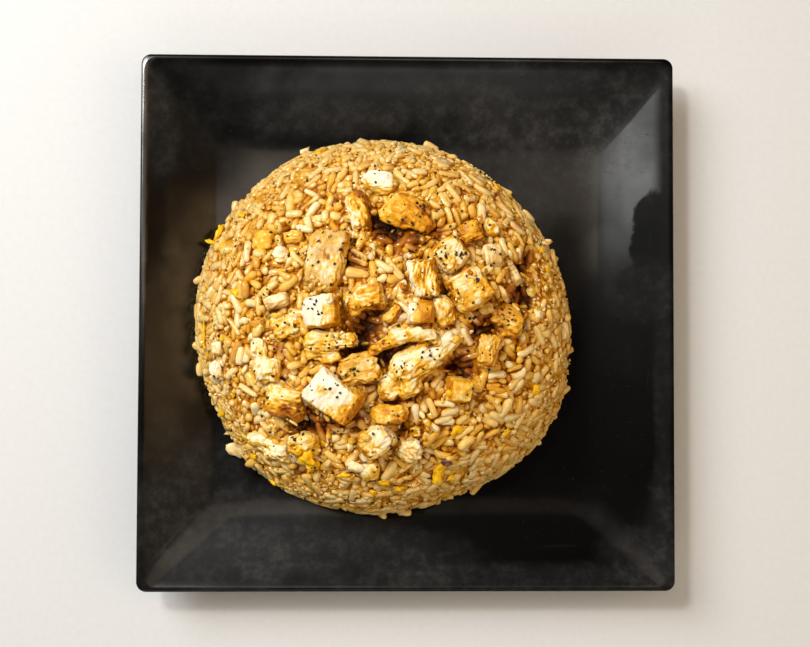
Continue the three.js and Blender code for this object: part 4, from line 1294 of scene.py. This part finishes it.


# what the chicken's colours read at each point. browning grows from the palest side to the far one,
# then come edges, spots, patches, and painted highlight and shade on the roughness: raised parts paler, low
# parts browner
def chickenValues(look, points, quads, threads, convex, raised, seed):
    slant = look["slant"]
    towards = heading(*look["pale"])
    spread = (points - points.mean(axis=0)) @ towards
    facing = (pointNormals(points, quads) @ towards) * (1 - slant) + spread / np.abs(spread).max() * slant
    palest, darkest = look["sear"]
    turnedAway = ramp(facing + noise(points / 4.0, seed + 7) * 0.25, 0.90, -0.15)
    edges = ramp(convex, 0.05, 0.45) * ramp(noise(points / 2.0, seed + 11), -0.5, 0.4)
    spotted = ramp(noise(points / 1.9, seed + 12), 0.42, 0.62)
    spotted = spotted * ramp(noise(points / 6.0, seed + 13), -0.2, 0.3)
    patches = noise(points / 5.0, seed + 8) * 0.16 + noise(points / 1.6, seed + 9) * 0.10
    # painted highlight and shade: raised parts paler, low parts browner
    uneven = edges * look["rim"] + spotted * look["spots"] + patches - raised * 0.16
    mottling = np.clip(0.7 + 0.7 * noise(points / 3.4, seed + 14), 0, 1)
    return {
        "fibre": threads,
        "sear": palest + (darkest - palest) * turnedAway + uneven * look["calm"],
        "tan": look["tan"] * ramp(facing, 0.1, 0.7) * mottling,
    }


for order, name in enumerate(toppingNames):
    kind, number = name.split("_")
    seed = 40 + 11 * order
    look = {**plainLook, **(chickenLooks[number] if kind == "chicken" else otherLooks[name])}
    points, quads, threads, convex, raised = roughened(name, look, seed)
    finish = look.get("finish", chickenFinish)
    values = {"fibre": threads}
    if kind == "chicken":
        values = chickenValues(look, points, quads, threads, convex, raised, seed)
    addPiece(kind + "Piece" + number, points, [quads], finish, values=values, replaces=[name])
    grounds.append((points, [quads], 2))

report("toppings")

# the food that bits fall on, as one net of faces
groundFaces, groundKinds = [], []
start = 0
for points, faces, kind in grounds:
    for part in faces:
        groundFaces += (part + start).tolist()
        groundKinds.append(np.full(len(part), kind))
    start += len(points)
groundKinds = np.concatenate(groundKinds)
groundPoints = np.concatenate([points for points, _, _ in grounds])
ground = BVHTree.FromPolygons(groundPoints.tolist(), groundFaces)


# where straight lines down meet the food: places, normals, kinds, and whether they meet it at all
def dropped(places):
    hits = [ground.ray_cast((x, y, 90), (0, 0, -1)) for x, y in places]
    met = np.array([hit[0] is not None for hit in hits])
    missed = ((0, 0, 0), (0, 0, 1), 0)
    hits = [hit[:3] if hit[0] is not None else missed for hit in hits]
    spots, normals, faces = (np.array(part) for part in zip(*hits))
    return spots, normals * np.sign(normals[:, 2:] + 1e-9), groundKinds[faces], met


# bits half sunk in the rice, that stand out of it by lift. their places are x, y, width, length and
# turn in degrees, and thick is half their thickness as a share of the smaller of width and length
def sunkBits(look, draw):
    table = np.array(look["places"])
    spots, _, _, met = dropped(table[:, :2])
    table, spots = table[met], spots[met]
    _, out = outness(spots)
    width, length = table[:, 2], table[:, 3]
    half = np.stack([width / 2, length / 2, np.minimum(width, length) * look["thick"]], axis=1)
    spots = spots + out * look["lift"]
    return pebbles(spots, out, np.radians(table[:, 4]), half, look["rough"], 9, 12, draw)


# what the chicken's colours read on bits that have one browning each and no threads
def bitValues(browning, perBit):
    return {"sear": np.repeat(browning, perBit), "fibre": np.full(len(browning) * perBit, 0.5)}


draw = np.random.default_rng(31)

# bits of egg and of pale chicken in the rice
eggBits = {
    "places": [
        (20.6, -72.9, 3.7, 5.6, 60), (-4.6, -77.3, 6.0, 4.4, 15), (-11.1, -73.1, 3.2, 6.5, 80),
        (-16.2, -78.8, 3.3, 2.8, 0), (59.2, -31.3, 5.8, 4.6, 40), (45.0, -51.3, 5.2, 2.6, 30),
        (21.3, -50.0, 4.5, 4.1, 35), (-42.4, 81.0, 6.2, 2.6, 25), (-78.6, 49.3, 3.0, 4.3, 60),
        (-90.6, 45.8, 2.2, 5.4, 70), (-94.8, 39.0, 6.4, 2.2, 25), (-87.0, 36.0, 3.8, 3.0, 30),
        (-78.6, 12.4, 3.2, 5.5, 75), (-37.9, -55.6, 3.2, 4.4, 60), (-87.6, -43.0, 4.0, 3.0, 20),
        (-72.4, -63.4, 3.2, 4.6, 120), (-63.6, -76.7, 3.9, 3.4, 0), (-31.5, -87.1, 6.2, 2.2, 165),
        (-29.9, -70.8, 5.8, 3.0, 10), (49.7, -13.3, 3.2, 2.7, 0), (49.3, 61.3, 2.4, 3.8, 110),
        (42.6, 65.0, 3.6, 2.8, 140), (18.1, -32.7, 3.2, 3.4, 70), (-81.1, -34.4, 2.6, 2.6, 0),
        (-67.1, 31.9, 3.4, 3.4, 0), (-85.4, -8.5, 3.4, 2.4, 60), (63.5, 34.0, 3.0, 2.2, 110),
        (66.0, 25.0, 2.6, 3.4, 100), (-46.2, -61.2, 9.0, 5.4, -35), (15.2, -68.4, 10.4, 5.2, 82),
        (-49.6, -58.6, 4.6, 3.4, 40), (-95.6, -7.0, 10.0, 2.2, 90), (-94.2, -14.5, 4.6, 2.0, 80),
    ],
    "thick": 0.2625,
    "lift": 0.5,
    "rough": 0.75,
}
points, faces, _ = sunkBits(eggBits, draw)
addPiece("eggBits", points, faces, eggFinish)

paleBits = {
    "places": [
        (56.4, 13.5, 6.0, 5.0, 30), (34.8, 5.0, 4.5, 6.3, 80), (-24.4, -65.8, 4.5, 8.2, 65),
        (5.3, -11.3, 5.3, 4.0, 10), (20.1, -9.0, 4.4, 4.0, 20), (-35.5, 8.5, 3.5, 3.5, 0),
        (-25.6, -54.0, 3.6, 3.6, 0), (-19.3, -52.1, 3.6, 3.0, 0), (59.3, 3.0, 5.5, 5.0, 40),
        (-58.9, 1.5, 5.0, 2.8, 10),
    ],
    "thick": 0.32,
    "lift": 0.8,
    "rough": 0.60,
    "sear": (0.1, 0.5),
}
points, faces, perBit = sunkBits(paleBits, draw)
values = bitValues(draw.uniform(*paleBits["sear"], len(points) // perBit), perBit)
addPiece("paleBits", points, faces, chickenFinish, values=values)

# bits that stand out of the heap's foot or lie beside it: x, y, z, half sizes and turn in degrees
atFoot = {
    "paleFlakes": {"finish": onionFinish, "places": [
        (-85.6, -53.4, 10.2, 3.2, 1.4, 0.7, 25), (-81.4, -62.2, 9.6, 4.8, 3.0, 1.0, -28),
        (-49.7, 83.4, 11.0, 2.9, 1.5, 1.2, 32), (66.2, 38.2, 22.5, 2.6, 1.4, 1.1, 12),
    ]},
    "eggWisps": {"finish": eggFinish, "places": [
        (-93.6, 37.8, 18.0, 3.0, 1.0, 0.8, 160), (-90.2, 42.4, 19.0, 4.4, 1.2, 0.8, 62),
    ]},
}
for name, bit in atFoot.items():
    table = np.array(bit["places"])
    spots, half, turns = table[:, :3], table[:, 3:6], np.radians(table[:, 6])
    normals = unit(np.array([0, 0, 1.0]) + 0.25 * draw.normal(size=spots.shape))
    points, faces, _ = pebbles(spots, normals, turns, half, 0.45, 9, 12, draw)
    keepOffPlate(points, 0.15)
    addPiece(name, points, faces, bit["finish"], values={"fibre": noise(points / 1.2, 5)})

# single bits of vegetable in the rice: x, y, half sizes and turn in degrees, then two colours
vegetables = {
    "purpleOnion": {
        "at": (17.6, -64.1), "half": (3.2, 2.3, 1.0), "turn": 20,
        "colours": [(0.10, 0.028, 0.030), (0.30, 0.12, 0.085)],
    },
    "springOnion": {
        "at": (-61.5, 1.5), "half": (2.7, 1.5, 0.9), "turn": 10,
        "colours": [(0.12, 0.095, 0.008), (0.30, 0.22, 0.03)],
    },
    "brownShard": {
        "at": (-81.0, -41.5), "half": (2.6, 1.0, 0.7), "turn": -35,
        "colours": [(0.24, 0.070, 0.008), (0.46, 0.18, 0.020)],
    },
}
skinLook = {"Roughness": 0.35, "Specular IOR Level": 0.4, "Coat Weight": 0.2}
for name, bit in vegetables.items():
    finish = softFinish(name + "Skin", skinLook, (1.6, 0.35, 0.65), bit["colours"], (0.8, 0.1))
    spots, _, _, _ = dropped([bit["at"]])
    _, out = outness(spots)
    turns, half = np.radians([bit["turn"]]), np.array([bit["half"]])
    points, faces, _ = pebbles(spots + out * 0.3, out, turns, half, 0.5, 9, 12, draw)
    addPiece(name, points, faces, finish)


# places drawn round the middles of clusters: x, y, spread and count
def clustered(clusters, draw):
    table = np.array(clusters, dtype=float)
    which = np.repeat(np.arange(len(table)), table[:, 3].astype(int))
    return table[which, :2] + draw.normal(size=(len(which), 2)) * table[which, 2:3]


# places drawn in a field, of which those within two distances of a topping's outline are kept, and
# the way off that outline
def besideToppings(look, draw):
    places = draw.uniform(*look["field"], (look["tries"], 2))
    outline, aside = footprint(places)
    chosen = (outline > look["near"][0]) & (outline < look["near"][1])
    return places[chosen][:look["most"]], aside[chosen][:look["most"]]


# bits lying on what is below them, with a random size times the look's shape, each turned its own way
def strewn(look, spots, normals, draw):
    count = len(spots)
    half = draw.uniform(*look["size"], count)[:, None] * draw.uniform(0.55, 1.0, (count, 3)) * look["shape"]
    turns = draw.uniform(0, 6.28, count)
    return pebbles(spots + normals * look["lift"], normals, turns, half, look["rough"], *look["net"], draw)


# crumbs beside the toppings and in heaps where they came off
crumbs = {
    "tries": 1100,
    "field": ((-90, -80), (75, 80)),
    "near": (0.4, 4.5),
    "most": 130,
    "clusters": [
        (-42, 14, 2.5, 16), (-48, -9, 2.0, 8), (20, 10, 2.0, 8), (-3, -46, 2.2, 8), (-28, 7, 2.0, 10),
        (-31, -5, 2.6, 16), (-20, 28, 1.6, 6), (5, -52, 2.0, 8), (-50, -3, 1.8, 6), (28, 22, 2.0, 8),
    ],
    "size": (0.6, 1.6),
    "shape": (1, 1, 1),
    "lift": 0.2,
    "rough": 0.80,
    "net": (4, 7),
}
places, _ = besideToppings(crumbs, draw)
places = np.concatenate([places, clustered(crumbs["clusters"], draw)])
spots, normals, _, met = dropped(places)
points, faces, perBit = strewn(crumbs, spots[met], normals[met], draw)
values = bitValues(0.15 + 0.65 * draw.beta(1.6, 1.6, met.sum()), perBit)
addPiece("chickenCrumbs", points, faces, chickenFinish, values=values)

# thin strips of meat torn off along the pieces' sides
shreds = {
    "tries": 500,
    "field": ((-70, -70), (60, 60)),
    "near": (-0.5, 2.0),
    "most": 42,
    "length": (1.6, 3.6),
    "width": (0.5, 0.95),
    "thick": (0.4, 0.7),
}
places, aside = besideToppings(shreds, draw)
spots, normals, _, met = dropped(places)
spots, normals, aside = spots[met], normals[met], aside[met]
count = len(spots)
turns = np.arctan2(aside[:, 1], aside[:, 0]) + np.pi / 2 + draw.normal(0, 0.6, count)
half = np.stack([draw.uniform(*shreds[side], count) for side in ("length", "width", "thick")], axis=1)
normals = unit(normals + draw.normal(0, 0.25, normals.shape))
points, faces, perBit = pebbles(spots + normals * 0.4, normals, turns, half, 0.30, 7, 10, draw)
values = bitValues(0.30 + 0.5 * draw.beta(1.6, 1.6, count), perBit)
addPiece("chickenShreds", points, faces, chickenFinish, values=values)

# pepper all over the heap, most of it on the toppings, and in clusters
pepper = {
    "tries": 5200,
    # chances of a place to get a speck
    "onTopping": 0.16,
    "nearTopping": 0.06,
    "onRice": 0.014,
    "clusters": [
        (-11, 41, 3.6, 30), (6, 49, 1.8, 12), (-3, -22, 1.7, 15), (-5, -53, 2.6, 12), (-46, 26, 1.8, 9),
        (-32, -11, 2.6, 12), (14, 28, 2.2, 12), (22, 29, 1.4, 7), (43, -1, 2.4, 7), (-26, -23, 2.4, 8),
        (-48, -49, 3.2, 12), (-32, -46, 3.0, 9), (-38, 10, 2.6, 8), (-24, -13, 2.4, 6), (4, 38, 4.0, 10),
        (-36, -30, 3.6, 9), (46, 2, 3.0, 8), (-40, 4, 3.5, 8), (10, -16, 4.0, 8), (-10, -12, 5.0, 8),
        (30, 14, 3.5, 6),
    ],
    "size": (0.40, 1.0),
    "shape": (1, 1, 0.7),
    "lift": 0.1,
    "rough": 0.95,
    "net": (3, 5),
}
angle = draw.uniform(0, 2 * np.pi, pepper["tries"])
away = np.sqrt(draw.random(pepper["tries"])) * (heap["radius"] - 1)
places = heap["centre"] + away[:, None] * np.stack([np.cos(angle), np.sin(angle)], axis=1)
spots, normals, kinds, met = dropped(places)
outline, _ = footprint(spots)
crowded = ramp(noise(np.column_stack([places / 7, np.zeros(len(places))]), 77), -0.5, 0.7)
chance = np.where(outline < 4, pepper["nearTopping"], pepper["onRice"])
chance = np.where(kinds == 2, pepper["onTopping"] * (0.35 + crowded), chance)
keep = met & (draw.random(len(places)) < chance)
more, moreNormals, _, met = dropped(clustered(pepper["clusters"], draw))
spots = np.concatenate([spots[keep], more[met]])
normals = np.concatenate([normals[keep], moreNormals[met]])
points, faces, perBit = strewn(pepper, spots, normals, draw)
pepperFinish = Finish("cracked pepper", {"Roughness": 0.6, "Specular IOR Level": 0.4})
dark = pepperFinish.attribute("tone")
pepperFinish.feed("Base Color", pepperFinish.mix(dark, (0.008, 0.005, 0.004), (0.075, 0.036, 0.012)))
pepperFinish.bump(pepperFinish.cloud(0.5, 2) * 0.2)
values = {"tone": np.repeat(draw.random(len(spots)) ** 2, perBit)}
addPiece("pepperSpecks", points, faces, pepperFinish, values=values)

report("small bits and %d specks of pepper" % len(spots))
